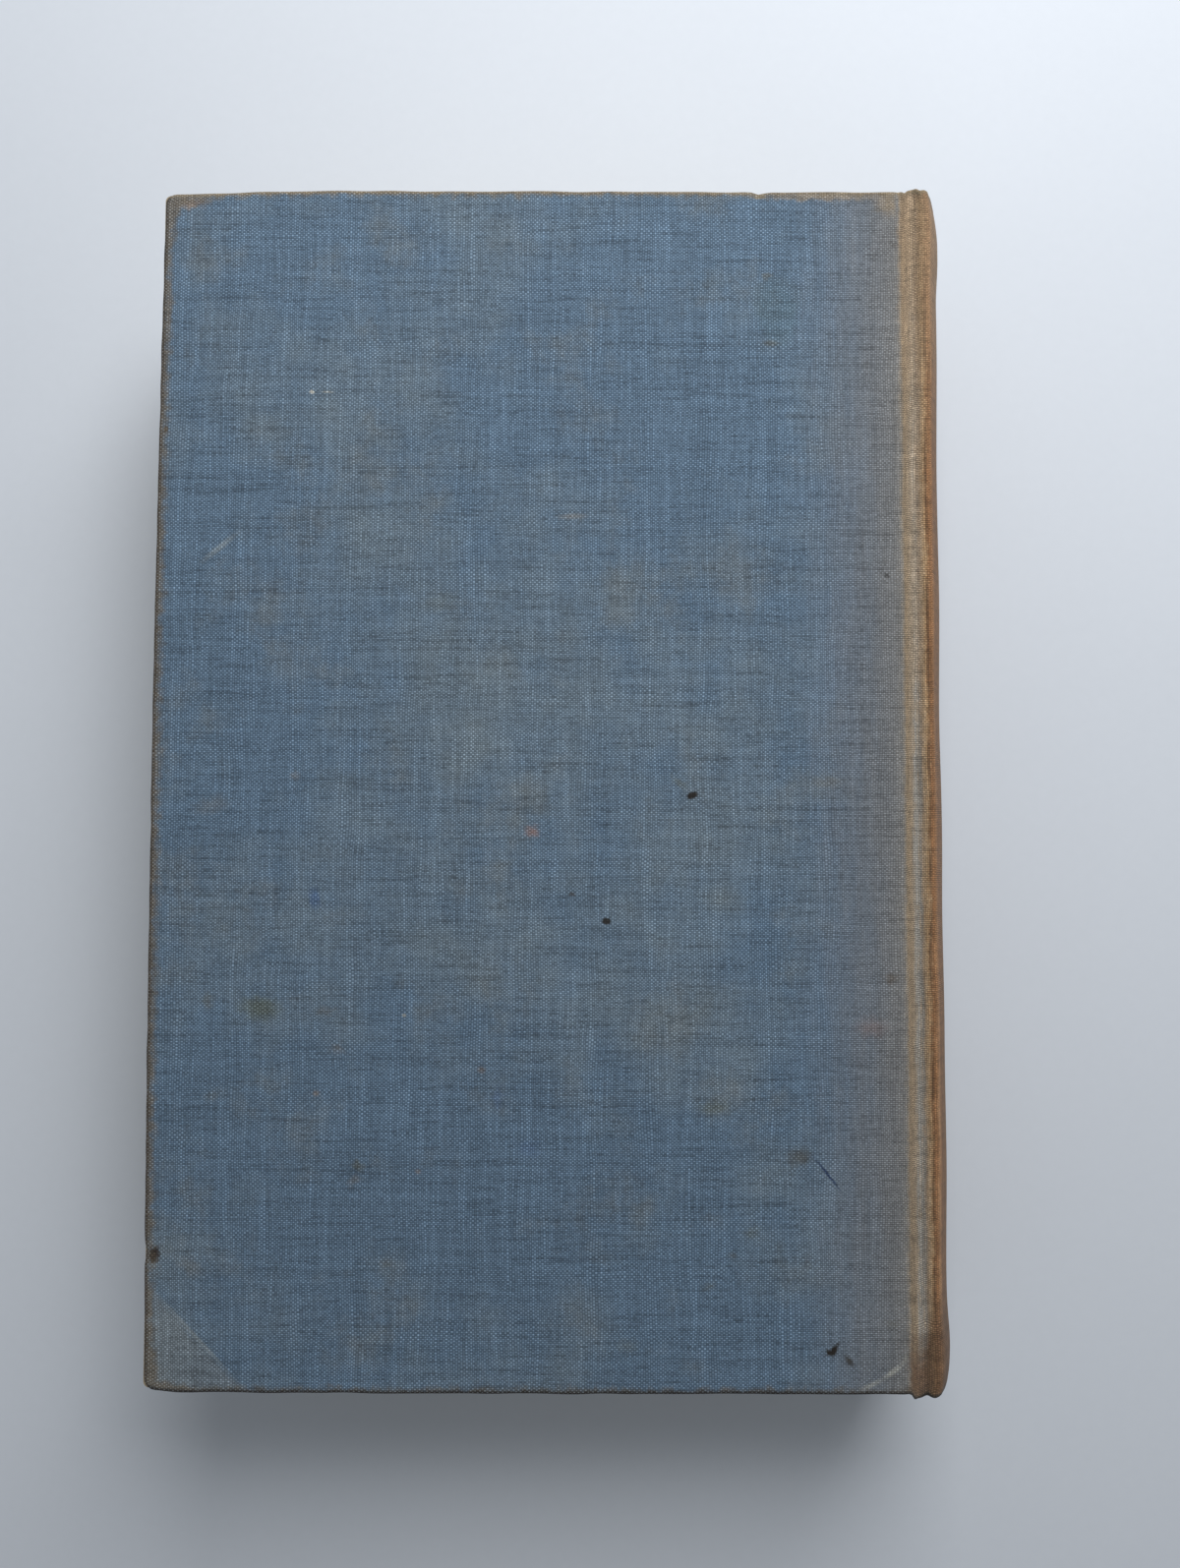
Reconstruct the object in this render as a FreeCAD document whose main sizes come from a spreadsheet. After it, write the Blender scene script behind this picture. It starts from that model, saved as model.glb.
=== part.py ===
"""A cloth-bound hardback book, closed, lying on its front cover.

Millimetres. X runs from the fore-edge (-) to the spine (+), Y from the tail (-) to the head (+), Z up.
The origin lies under the middle of the book, on the surface that it rests on.
"""
import FreeCAD, Part
import os
from typing import NamedTuple

import Sketcher

DRIVING_SIZES = (
    ("page_height", 216.0, "height of the trimmed leaves"),
    ("block_thickness", 34.6, "thickness of the pressed leaves at their flat faces"),
    ("cover_width", 139.5, "covered board, from the fore-edge to the joint"),
    ("head_square", 3.0, "how far a cover stands past the leaves at head and tail"),
    ("fore_edge_square", 3.0, "how far a cover stands past the leaves at the fore-edge"),
    ("board_thickness", 2.6, "binder's board"),
    ("cloth_thickness", 0.4, "book cloth with its glue"),
    ("endpaper_thickness", 0.15, "flyleaf, and the pastedown of the same sheet"),
    ("mull_thickness", 0.2, "open cotton glued round the back of the leaves"),
    ("lining_thickness", 0.2, "paper lining over the mull"),
    ("inlay_thickness", 0.5, "stiff paper that shapes the cloth spine"),
    ("glue_line", 0.05, "glue between the mull and the lining"),
    ("hollow_gap", 0.2, "air between the lining and the turned-in cloth"),
    ("joint_width", 4.1, "from a cover's joint edge to the tip of the shoulder"),
    ("joint_clearance", 0.3, "free space between a moving cover and the cloth of the joint"),
    ("shoulder_height", 1.7, "how far the backed shoulder stands above the flat face"),
    ("shoulder_run", 1.3, "how far the shoulder's flank leans towards the spine"),
    ("spine_rise", 5.2, "bulge of the rounded back beyond the shoulder tips"),
    ("fore_edge_hollow", 5.5, "depth of the concave fore-edge"),
    ("ridge_radius", 1.2, "outer rounding of the cloth over the shoulder"),
    ("groove_radius", 0.6, "outer rounding of the cloth at the foot of the shoulder"),
    ("corner_radius", 1.5, "rounded corners of the covers at the fore-edge"),
    ("edge_radius", 0.5, "rounding of the cloth round the outer edges of the boards"),
    ("turn_in_width", 15.0, "cloth folded over the edges of boards and inlay"),
    ("pastedown_inset", 3.0, "margin of cloth round the pastedown"),
    ("cap_height", 0.6, "how far the spine cloth stands past the covers at head and tail"),
    ("mull_end_gap", 14.0, "how much shorter the mull is than the leaves at each end"),
    ("mull_flange", 26.0, "width of mull glued inside each board"),
    ("lining_end_gap", 2.0, "how much shorter the lining is than the leaves at each end"),
    ("lining_margin", 0.8, "from a shoulder tip to the lining's long edge"),
    ("inlay_margin", 1.0, "from a shoulder tip to the inlay's long edge"),
)

# Levels are heights above or below the middle plane, lifts are distances out from the back of the leaves.
DERIVED_PLACES = (
    ("block_level", "sizes.block_thickness / 2"),
    ("leaf_level", "at.block_level + sizes.endpaper_thickness"),
    ("turn_in_level", "at.leaf_level + sizes.endpaper_thickness"),
    ("board_level", "at.turn_in_level + sizes.cloth_thickness"),
    ("board_top_level", "at.board_level + sizes.board_thickness"),
    ("mid", "at.board_top_level + sizes.cloth_thickness"),
    ("page_half", "sizes.page_height / 2"),
    ("cover_half", "at.page_half + sizes.head_square"),
    ("cap_half", "at.cover_half + sizes.cap_height"),
    ("lining_lift", "sizes.mull_thickness + sizes.glue_line"),
    ("hollow_lift", "at.lining_lift + sizes.lining_thickness"),
    ("turn_in_lift", "at.hollow_lift + sizes.hollow_gap"),
    ("inlay_lift", "at.turn_in_lift + sizes.cloth_thickness"),
    ("cloth_lift", "at.inlay_lift + sizes.inlay_thickness"),
    ("spine_lift", "at.cloth_lift + sizes.cloth_thickness"),
    ("spine_x", "(sizes.cover_width + sizes.joint_width + sizes.spine_rise + at.spine_lift) / 2"),
    ("fore_edge_x", "-at.spine_x"),
    ("joint_edge_x", "at.fore_edge_x + sizes.cover_width"),
    ("joint_cloth_x", "at.joint_edge_x + sizes.joint_clearance"),
    ("tip_x", "at.joint_edge_x + sizes.joint_width"),
    ("flank_foot_x", "at.tip_x - sizes.shoulder_run"),
    ("tip_level", "at.block_level + sizes.shoulder_height"),
    ("flank_angle", "atan(sizes.shoulder_height / sizes.shoulder_run) / 1deg"),
    ("back_radius", "(at.tip_level ^ 2 + sizes.spine_rise ^ 2) / (2 * sizes.spine_rise)"),
    ("back_x", "at.tip_x + sizes.spine_rise - at.back_radius"),
    ("page_edge_x", "at.fore_edge_x + sizes.fore_edge_square"),
    ("hollow_radius", "(at.block_level ^ 2 + sizes.fore_edge_hollow ^ 2) / (2 * sizes.fore_edge_hollow)"),
    ("hollow_x", "at.page_edge_x + sizes.fore_edge_hollow - at.hollow_radius"),
    ("inlay_level", "at.tip_level - sizes.inlay_margin"),
    ("lining_level", "at.tip_level - sizes.lining_margin"),
    ("turn_in_x", "at.fore_edge_x + sizes.turn_in_width"),
    ("turn_in_half", "at.cover_half - sizes.turn_in_width"),
    ("mull_half", "at.page_half - sizes.mull_end_gap"),
    ("mull_x", "at.joint_edge_x - sizes.mull_flange"),
    ("mull_level", "at.board_level - sizes.mull_thickness"),
)

NEAR = 0.05  # how close an edge lies to the place that names it

doc = FreeCAD.newDocument("hardback_book")
sheet = doc.addObject("Spreadsheet::Sheet", "sizes")
for row, (alias, size, meaning) in enumerate(DRIVING_SIZES, start=1):
    sheet.set(f"A{row}", alias)
    sheet.set(f"B{row}", str(size))
    sheet.setAlias(f"B{row}", alias)
    sheet.set(f"C{row}", meaning)
doc.recompute()

places = doc.addObject("App::VarSet", "at")
for place, formula in DERIVED_PLACES:
    places.addProperty("App::PropertyFloat", place, "Places")
    places.setExpression(place, formula)
    doc.recompute()


class Corner(NamedTuple):
    """A corner of an outline. Its pin says which of u and v are held; the other is only near its value."""

    u: str
    v: str
    pin: str = "uv"


class Straight(NamedTuple):
    """A straight side, held at an angle in degrees where one is given."""

    angle: str = ""


class Arc(NamedTuple):
    """A side on a circle. Its centre is held, or only near its place when the corners settle it."""

    centre_u: str
    centre_v: str
    radius: str
    anticlockwise: bool = True
    pin: str = "uv"


def number(formula):
    """The value of a formula on the sheet and the places."""
    return float(sheet.evalExpression(formula))


def point(u, v):
    """A point of a sketch, from two formulas."""
    return FreeCAD.Vector(number(u), number(v), 0)


def hold(sketch, kind, *where, formula):
    """Adds one dimension to a sketch and ties it to a formula."""
    index = sketch.addConstraint(Sketcher.Constraint(kind, *where, number(formula)))
    sketch.setExpression(f"Constraints[{index}]", formula)


def hold_point(sketch, side, end, pin, u, v):
    """Ties the pinned coordinates of a point to their formulas."""
    if "u" in pin:
        hold(sketch, "DistanceX", -1, 1, side, end, formula=u)
    if "v" in pin:
        hold(sketch, "DistanceY", -1, 1, side, end, formula=v)


def arc_geometry(arc, start, end):
    """The arc's starting shape between two points."""
    centre = point(arc.centre_u, arc.centre_v)
    circle = Part.Circle(centre, FreeCAD.Vector(0, 0, 1), (start - centre).Length)
    first, last = (start, end) if arc.anticlockwise else (end, start)
    return Part.ArcOfCircle(circle, circle.parameter(first), circle.parameter(last))


def draw(sketch, corners, sides):
    """Draws a closed outline: side i runs from corner i to the next one."""
    points = [point(corner.u, corner.v) for corner in corners]
    ends = []
    for index, side in enumerate(sides):
        start = points[index]
        end = points[(index + 1) % len(points)]
        if isinstance(side, Arc):
            geometry = sketch.addGeometry(arc_geometry(side, start, end))
            ends.append((geometry, 1, 2) if side.anticlockwise else (geometry, 2, 1))
        else:
            geometry = sketch.addGeometry(Part.LineSegment(start, end))
            ends.append((geometry, 1, 2))
    for index, (geometry, _, last) in enumerate(ends):
        after, first, _ = ends[(index + 1) % len(ends)]
        sketch.addConstraint(Sketcher.Constraint("Coincident", geometry, last, after, first))
    for corner, (geometry, first, _) in zip(corners, ends):
        hold_point(sketch, geometry, first, corner.pin, corner.u, corner.v)
    for side, (geometry, _, _) in zip(sides, ends):
        if isinstance(side, Arc):
            hold_point(sketch, geometry, 3, side.pin, side.centre_u, side.centre_v)
            if side.radius:
                hold(sketch, "Radius", geometry, formula=side.radius)
        elif side.angle:
            angle = FreeCAD.Units.Quantity(f"{number(side.angle)} deg")
            index = sketch.addConstraint(Sketcher.Constraint("Angle", geometry, angle))
            sketch.setExpression(f"Constraints[{index}]", f"({side.angle}) * 1deg")


def new_body(label):
    """An empty body, named for its piece."""
    body = doc.addObject("PartDesign::Body", label)
    body.Label = label
    body.Placement = FreeCAD.Placement()
    return body


def new_sketch(body, name, role, level="0"):
    """A sketch on one of the body's own origin planes, raised to a level."""
    plane = next(item for item in body.Origin.OriginFeatures if item.Role == role)
    sketch = body.newObject("Sketcher::SketchObject", f"{body.Name}_{name}")
    sketch.AttachmentSupport = [(plane, "")]
    sketch.MapMode = "FlatFace"
    sketch.setExpression("AttachmentOffset.Base.z", level)
    return sketch


def pad_both_ways(body, sketch, length):
    """A pad that runs as far to the head as to the tail."""
    pad = body.newObject("PartDesign::Pad", f"{sketch.Name}_pad")
    pad.Profile = sketch
    pad.SideType = "Symmetric"
    pad.setExpression("Length", length)
    doc.recompute()
    return pad


def checked_cut(body, cut, before):
    """Stops the build where a cut has taken nothing away."""
    doc.recompute()
    if body.Shape.Volume >= before:
        raise RuntimeError(f"{cut.Name} cuts nothing")
    return cut


def pocket_both_ways(body, sketch, length):
    """A pocket that runs as far to the head as to the tail."""
    before = body.Shape.Volume
    pocket = body.newObject("PartDesign::Pocket", f"{sketch.Name}_pocket")
    pocket.Profile = sketch
    pocket.SideType = "Symmetric"
    pocket.setExpression("Length", length)
    return checked_cut(body, pocket, before)


def rounded(body, base, wanted, radius, name):
    """Rounds the edges of a feature that pass a test."""
    names = [
        f"Edge{index}" for index, edge in enumerate(base.Shape.Edges, start=1) if wanted(edge.Vertexes)
    ]
    fillet = body.newObject("PartDesign::Fillet", f"{body.Name}_{name}")
    fillet.Base = (base, names)
    fillet.setExpression("Radius", radius)
    doc.recompute()
    return fillet


def stand_at(level):
    """A test for edges that stand at one level over or under the middle plane and run to both ends."""
    mid = number("at.mid")

    def passes(ends):
        """Whether both ends of an edge are at the level, one at the head and one at the tail."""
        at_level = all(abs(abs(end.Z - mid) - level) < NEAR for end in ends)
        return at_level and len(ends) == 2 and ends[0].Y * ends[1].Y < 0

    return passes


def above(level):
    """Height of a level over the middle plane."""
    return f"at.mid + ({level})"


def below(level):
    """Height of a level under the middle plane."""
    return f"at.mid - ({level})"


def foot_x(lift, rise):
    """Where a line at a lift from the shoulder's flank stands at a rise over the flat face."""
    return (
        f"at.flank_foot_x - ({lift}) / sin(at.flank_angle * 1deg) + ({rise}) / tan(at.flank_angle * 1deg)"
    )


def circle_x(lift, level):
    """Where the circle at a lift from the back of the leaves stands at a level."""
    return f"at.back_x + sqrt((at.back_radius + {lift}) ^ 2 - ({level}) ^ 2)"


def draw_wrap(sketch, inner, outer):
    """Section of a sheet that runs from groove to groove round the back.

    Inner and outer each give the lift from the flank, the rise over the flat face and the lift from the back.
    """
    corners = []
    sides = []
    for (flank_lift, rise, back_lift), clockwise in ((outer, True), (inner, False)):
        foot = foot_x(flank_lift, rise)
        level = f"at.block_level + {rise}"
        tip_level = f"at.tip_level + {flank_lift}"
        tip = circle_x(back_lift, tip_level)
        upper, lower = (above, below) if clockwise else (below, above)
        lean = "at.flank_angle" if clockwise else "-at.flank_angle"
        corners += [
            Corner("at.joint_cloth_x", upper(level)),
            Corner(foot, upper(level)),
            Corner(tip, upper(tip_level), pin=""),
            Corner(tip, lower(tip_level), pin=""),
            Corner(foot, lower(level)),
            Corner("at.joint_cloth_x", lower(level)),
        ]
        sides += [
            Straight(),
            Straight(lean),
            Arc("at.back_x", "at.mid", f"at.back_radius + {back_lift}", anticlockwise=not clockwise),
            Straight(f"180 - ({lean})"),
            Straight(),
            Straight(),
        ]
    draw(sketch, corners, sides)


def draw_sector(sketch, inner_lift, outer_lift, level):
    """Section of a layer on the rounded back, between two lifts and two levels."""
    inner = circle_x(inner_lift, level)
    outer = circle_x(outer_lift, level)
    draw(
        sketch,
        [
            Corner(outer, above(level), pin="v"),
            Corner(outer, below(level), pin="v"),
            Corner(inner, below(level), pin="v"),
            Corner(inner, above(level), pin="v"),
        ],
        [
            Arc("at.back_x", "at.mid", f"at.back_radius + {outer_lift}", anticlockwise=False),
            Straight(),
            Arc("at.back_x", "at.mid", f"at.back_radius + {inner_lift}"),
            Straight(),
        ],
    )


def draw_rectangle(sketch, left, right, half):
    """A rectangle that reaches as far to the head as to the tail."""
    draw(
        sketch,
        [
            Corner(left, f"-({half})"),
            Corner(right, f"-({half})"),
            Corner(right, half),
            Corner(left, half),
        ],
        [Straight()] * 4,
    )


def draw_cover(sketch, inset):
    """The outline of a cover, or of what lies inside its cloth, with rounded corners at the fore-edge."""
    left = f"at.fore_edge_x + {inset}"
    right = f"at.joint_edge_x - {inset}"
    half = f"(at.cover_half - {inset})"
    radius = f"(sizes.corner_radius - {inset})"
    turned = f"{left} + {radius}"
    draw(
        sketch,
        [
            Corner(turned, f"-{half}"),
            Corner(right, f"-{half}"),
            Corner(right, half),
            Corner(turned, half),
            Corner(left, f"{half} - {radius}"),
            Corner(left, f"{radius} - {half}"),
        ],
        [
            Straight(),
            Straight(),
            Straight(),
            Arc(turned, f"{half} - {radius}", "", pin=""),
            Straight(),
            Arc(turned, f"{radius} - {half}", "", pin=""),
        ],
    )


def slab_level(upper, low, high):
    """Height of the underside of a slab between two levels of the upper or the lower cover."""
    return above(low) if upper else below(high)


def pad_slab(body, name, upper, low, high, outline, *values):
    """Adds a slab between two levels of one cover."""
    sketch = new_sketch(body, name, "XY_Plane", slab_level(upper, low, high))
    outline(sketch, *values)
    pad = body.newObject("PartDesign::Pad", f"{sketch.Name}_pad")
    pad.Profile = sketch
    pad.setExpression("Length", f"({high}) - ({low})")
    doc.recompute()
    return pad


def pocket_slab(body, name, upper, low, high, outline, *values):
    """Takes a slab between two levels out of one cover's piece."""
    before = body.Shape.Volume
    sketch = new_sketch(body, name, "XY_Plane", slab_level(upper, low, high))
    outline(sketch, *values)
    pocket = body.newObject("PartDesign::Pocket", f"{sketch.Name}_pocket")
    pocket.Profile = sketch
    pocket.Reversed = True
    pocket.setExpression("Length", f"({high}) - ({low})")
    return checked_cut(body, pocket, before)


def make_page_block():
    """The leaves as one solid: flat faces, backed shoulders, rounded back and concave fore-edge."""
    body = new_body("page_block")
    sketch = new_sketch(body, "section", "XZ_Plane")
    draw(
        sketch,
        [
            Corner("at.page_edge_x", above("at.block_level")),
            Corner("at.flank_foot_x", above("at.block_level")),
            Corner("at.tip_x", above("at.tip_level")),
            Corner("at.tip_x", below("at.tip_level")),
            Corner("at.flank_foot_x", below("at.block_level")),
            Corner("at.page_edge_x", below("at.block_level")),
        ],
        [
            Straight(),
            Straight(),
            Arc("at.back_x", "at.mid", "", anticlockwise=False, pin="u"),
            Straight(),
            Straight(),
            Arc("at.hollow_x", "at.mid", "", pin="u"),
        ],
    )
    pad_both_ways(body, sketch, "sizes.page_height")
    return body


def make_spine_mull():
    """The mull round the back and shoulders, ending in the grooves."""
    body = new_body("spine_mull")
    sketch = new_sketch(body, "section", "XZ_Plane")
    leaf = "sizes.endpaper_thickness"
    mull = "sizes.mull_thickness"
    draw_wrap(sketch, ("0", leaf, "0"), (mull, f"({leaf} + {mull})", mull))
    pad_both_ways(body, sketch, "2 * at.mull_half")
    return body


def make_spine_lining():
    """The paper lining on the mull."""
    body = new_body("spine_lining_paper")
    sketch = new_sketch(body, "section", "XZ_Plane")
    draw_sector(sketch, "at.lining_lift", "at.hollow_lift", "at.lining_level")
    pad_both_ways(body, sketch, "2 * (at.page_half - sizes.lining_end_gap)")
    return body


def make_spine_inlay():
    """The stiff paper inside the cloth spine."""
    body = new_body("spine_inlay")
    sketch = new_sketch(body, "section", "XZ_Plane")
    draw_sector(sketch, "at.inlay_lift", "at.cloth_lift", "at.inlay_level")
    pad_both_ways(body, sketch, "2 * (at.cap_half - sizes.cloth_thickness)")
    return body


def make_spine_cloth():
    """The cloth of the spine and grooves, turned in round the ends of the inlay."""
    body = new_body("spine_cloth")
    sketch = new_sketch(body, "section", "XZ_Plane")
    inner_flank = "sizes.mull_thickness"
    outer_flank = "(sizes.mull_thickness + sizes.cloth_thickness)"
    inner_rise = "(sizes.endpaper_thickness + sizes.mull_thickness)"
    outer_rise = "(sizes.endpaper_thickness + sizes.mull_thickness + sizes.cloth_thickness)"
    draw_wrap(
        sketch,
        (inner_flank, inner_rise, "at.turn_in_lift"),
        (outer_flank, outer_rise, "at.spine_lift"),
    )
    pad = pad_both_ways(body, sketch, "2 * at.cap_half")
    ridge_level = max(vertex.Z for vertex in pad.Shape.Vertexes) - number("at.mid")
    ridges = rounded(body, pad, stand_at(ridge_level), "sizes.ridge_radius", "ridges")
    foot = number(foot_x(outer_flank, outer_rise))
    at_level = stand_at(number(f"at.block_level + {outer_rise}"))
    rounded(
        body, ridges, lambda ends: at_level(ends) and abs(ends[0].X - foot) < NEAR,
        "sizes.groove_radius", "grooves",
    )
    space = new_sketch(body, "inlay_space", "XZ_Plane")
    draw_sector(space, "at.inlay_lift", "at.cloth_lift", "at.inlay_level")
    pocket_both_ways(body, space, "2 * (at.cap_half - sizes.cloth_thickness)")
    window = new_sketch(body, "window", "XZ_Plane")
    draw_sector(window, "at.hollow_lift", "at.inlay_lift", "at.inlay_level")
    pocket_both_ways(body, window, "2 * (at.cap_half - sizes.turn_in_width)")
    return body


def make_flyleaf(side, upper):
    """The free leaf of an endpaper, on the flat face of the leaves."""
    body = new_body(f"{side}_flyleaf")
    pad_slab(
        body, "sheet", upper, "at.block_level", "at.leaf_level",
        draw_rectangle, "at.page_edge_x", "at.flank_foot_x", "at.page_half",
    )
    return body


def make_board(side, upper):
    """The board inside the cloth."""
    body = new_body(f"{side}_board")
    pad_slab(
        body, "board", upper, "at.board_level", "at.board_top_level", draw_cover, "sizes.cloth_thickness"
    )
    return body


def make_cover_cloth(side, upper):
    """The cloth round a board, turned in at head, tail and fore-edge."""
    body = new_body(f"{side}_cloth")
    outer = pad_slab(body, "wrap", upper, "at.turn_in_level", "at.mid", draw_cover, "0")
    face = number(above("at.mid") if upper else below("at.mid"))
    rounded(
        body, outer, lambda ends: all(abs(end.Z - face) < NEAR for end in ends), "sizes.edge_radius", "edges"
    )
    pocket_slab(
        body, "board_space", upper, "at.board_level", "at.board_top_level",
        draw_cover, "sizes.cloth_thickness",
    )
    pocket_slab(
        body, "window", upper, "at.turn_in_level", "at.board_level",
        draw_rectangle, "at.turn_in_x", "at.joint_edge_x", "at.turn_in_half",
    )
    return body


def make_mull_flange(side, upper):
    """The part of the mull that is glued inside a board."""
    body = new_body(f"{side}_mull_flange")
    pad_slab(
        body, "sheet", upper, "at.mull_level", "at.board_level",
        draw_rectangle, "at.mull_x", "at.joint_edge_x", "at.mull_half",
    )
    return body


def make_pastedown(side, upper):
    """The glued leaf of an endpaper, pressed down inside the turn-ins and over the mull."""
    body = new_body(f"{side}_pastedown")
    paper = "sizes.endpaper_thickness"
    left = "at.fore_edge_x + sizes.pastedown_inset"
    right = "at.joint_edge_x"
    pad_slab(
        body, "border", upper, f"at.turn_in_level - {paper}", "at.turn_in_level",
        draw_rectangle, left, right, "(at.cover_half - sizes.pastedown_inset)",
    )
    pad_slab(
        body, "middle", upper, f"at.turn_in_level - {paper}", "at.board_level",
        draw_rectangle, "at.turn_in_x", right, "at.turn_in_half",
    )
    pocket_slab(
        body, "middle_dip", upper, f"at.turn_in_level - {paper}", f"at.board_level - {paper}",
        draw_rectangle, f"at.turn_in_x + {paper}", right, f"(at.turn_in_half - {paper})",
    )
    pad_slab(
        body, "over_mull", upper, f"at.mull_level - {paper}", "at.board_level",
        draw_rectangle, f"at.mull_x - {paper}", right, f"(at.mull_half + {paper})",
    )
    pocket_slab(
        body, "mull_space", upper, "at.mull_level", "at.board_level",
        draw_rectangle, "at.mull_x", right, "at.mull_half",
    )
    return body


pieces = [
    make_page_block(),
    make_spine_mull(),
    make_spine_lining(),
    make_spine_inlay(),
    make_spine_cloth(),
]
for cover_side, is_upper in (("back", True), ("front", False)):
    for make in (make_flyleaf, make_board, make_cover_cloth, make_mull_flange, make_pastedown):
        pieces.append(make(cover_side, is_upper))

doc.recompute()
for item in doc.Objects:
    if "Invalid" in item.State or "Error" in item.State:
        raise RuntimeError(f"{item.Name} did not build: {item.State}")

os.makedirs("parts", exist_ok=True)
for piece in pieces:
    if piece.Shape.isNull() or not piece.Shape.isValid() or len(piece.Shape.Solids) != 1:
        raise RuntimeError(f"{piece.Label} is not one sound solid")
    piece.Shape.exportStep(f"parts/{piece.Label}.step")
    box = piece.Shape.BoundBox
    print(
        f"{piece.Label}: {piece.Shape.Volume:.1f} mm3, "
        f"X {box.XMin:.2f} to {box.XMax:.2f}, Y {box.YMin:.2f} to {box.YMax:.2f}, "
        f"Z {box.ZMin:.2f} to {box.ZMax:.2f}"
    )
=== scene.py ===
import logging
import math
from dataclasses import dataclass, field
from enum import Enum
from typing import Optional, Union

import bpy
import numpy as np
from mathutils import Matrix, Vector, noise


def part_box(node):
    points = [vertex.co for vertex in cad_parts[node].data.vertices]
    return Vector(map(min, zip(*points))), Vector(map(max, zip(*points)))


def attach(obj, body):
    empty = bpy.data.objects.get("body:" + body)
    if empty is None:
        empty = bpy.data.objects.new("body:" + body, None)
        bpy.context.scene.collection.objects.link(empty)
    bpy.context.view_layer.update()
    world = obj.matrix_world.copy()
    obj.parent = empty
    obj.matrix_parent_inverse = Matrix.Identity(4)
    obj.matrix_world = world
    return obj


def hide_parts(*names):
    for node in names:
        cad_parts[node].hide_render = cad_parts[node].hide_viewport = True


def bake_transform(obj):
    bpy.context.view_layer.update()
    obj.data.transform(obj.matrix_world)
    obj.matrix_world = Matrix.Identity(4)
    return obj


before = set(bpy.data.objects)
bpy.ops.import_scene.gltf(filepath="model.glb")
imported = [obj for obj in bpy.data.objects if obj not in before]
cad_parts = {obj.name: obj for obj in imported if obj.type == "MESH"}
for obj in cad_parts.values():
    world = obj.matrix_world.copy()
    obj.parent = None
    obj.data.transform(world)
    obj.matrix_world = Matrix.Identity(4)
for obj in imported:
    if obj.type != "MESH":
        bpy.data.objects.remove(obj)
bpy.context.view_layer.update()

MM = 0.001
log = logging.getLogger("hardback_book")

Socket = bpy.types.NodeSocket
Value = Union[float, Socket]
Tone = tuple[float, float, float]


# Small helpers for numbers and colours

def linear(tone: Tone) -> tuple[float, float, float, float]:
    """Turn a colour as it is seen on a screen into the renderer's own values.

    Args:
        tone: Red, green and blue from 0 to 255.

    Returns:
        Red, green, blue and an alpha of one.
    """
    parts = []
    for part in tone:
        share = part / 255.0
        parts.append(share / 12.92 if share <= 0.04045 else ((share + 0.055) / 1.055) ** 2.4)
    return (parts[0], parts[1], parts[2], 1.0)


def ease(values: np.ndarray, low: float, high: float) -> np.ndarray:
    """Rise smoothly from 0 at low to 1 at high.

    Args:
        values: Where to take the curve.
        low: The value that gives 0.
        high: The value that gives 1.

    Returns:
        The curve's heights, from 0 to 1.
    """
    share = np.clip((values - low) / (high - low), 0.0, 1.0)
    return share * share * (3.0 - 2.0 * share)


def ripple(x: np.ndarray, y: np.ndarray, size: float, seed: float) -> np.ndarray:
    """Give an uneven surface that is the same on each run.

    Args:
        x: First coordinate of each point, in millimetres.
        y: Second coordinate of each point, in millimetres.
        size: How far apart its humps are, in millimetres.
        seed: A number that picks another surface.

    Returns:
        Heights from about -1 to 1, in the shape of x and y.
    """
    x, y = np.broadcast_arrays(np.asarray(x, float), np.asarray(y, float))
    heights = [noise.noise(Vector((a / size, b / size, seed))) for a, b in zip(x.ravel(), y.ravel())]
    return np.array(heights).reshape(x.shape) * 1.6


def smooth_line(points: np.ndarray, steps: int) -> np.ndarray:
    """Run a smooth line through points.

    Args:
        points: The points, one a row.
        steps: How many steps it takes between two points.

    Returns:
        The line's points, from the first to the last.
    """
    padded = np.vstack([2 * points[0] - points[1], points, 2 * points[-1] - points[-2]])
    share = np.linspace(0.0, 1.0, steps, endpoint=False)[:, None]
    runs = []
    for before, start, end, after in zip(padded[:-3], padded[1:-2], padded[2:-1], padded[3:]):
        runs.append(0.5 * (2 * start + (end - before) * share
                           + (2 * before - 5 * start + 4 * end - after) * share ** 2
                           + (3 * start - before - 3 * end + after) * share ** 3))
    return np.vstack(runs + [points[-1:]])


def run_length(points: np.ndarray) -> np.ndarray:
    """Measure along a line from its first point.

    Args:
        points: The line's points, one a row.

    Returns:
        The length up to each point.
    """
    return np.concatenate([[0.0], np.cumsum(np.linalg.norm(np.diff(points, axis=0), axis=1))])


# The covers and the places that the pieces share

class Cover(Enum):
    """One of the book's two covers."""

    BACK = "back"
    FRONT = "front"

    @property
    def side(self) -> int:
        """Say which way its outer face looks: 1 up, -1 down."""
        return 1 if self is Cover.BACK else -1

    @property
    def body(self) -> str:
        """Name the body that moves with this cover."""
        return f"{self.value}_cover"

    def named(self, part: str) -> str:
        """Name one of this cover's parts."""
        return f"{self.value}_{part}"


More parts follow.
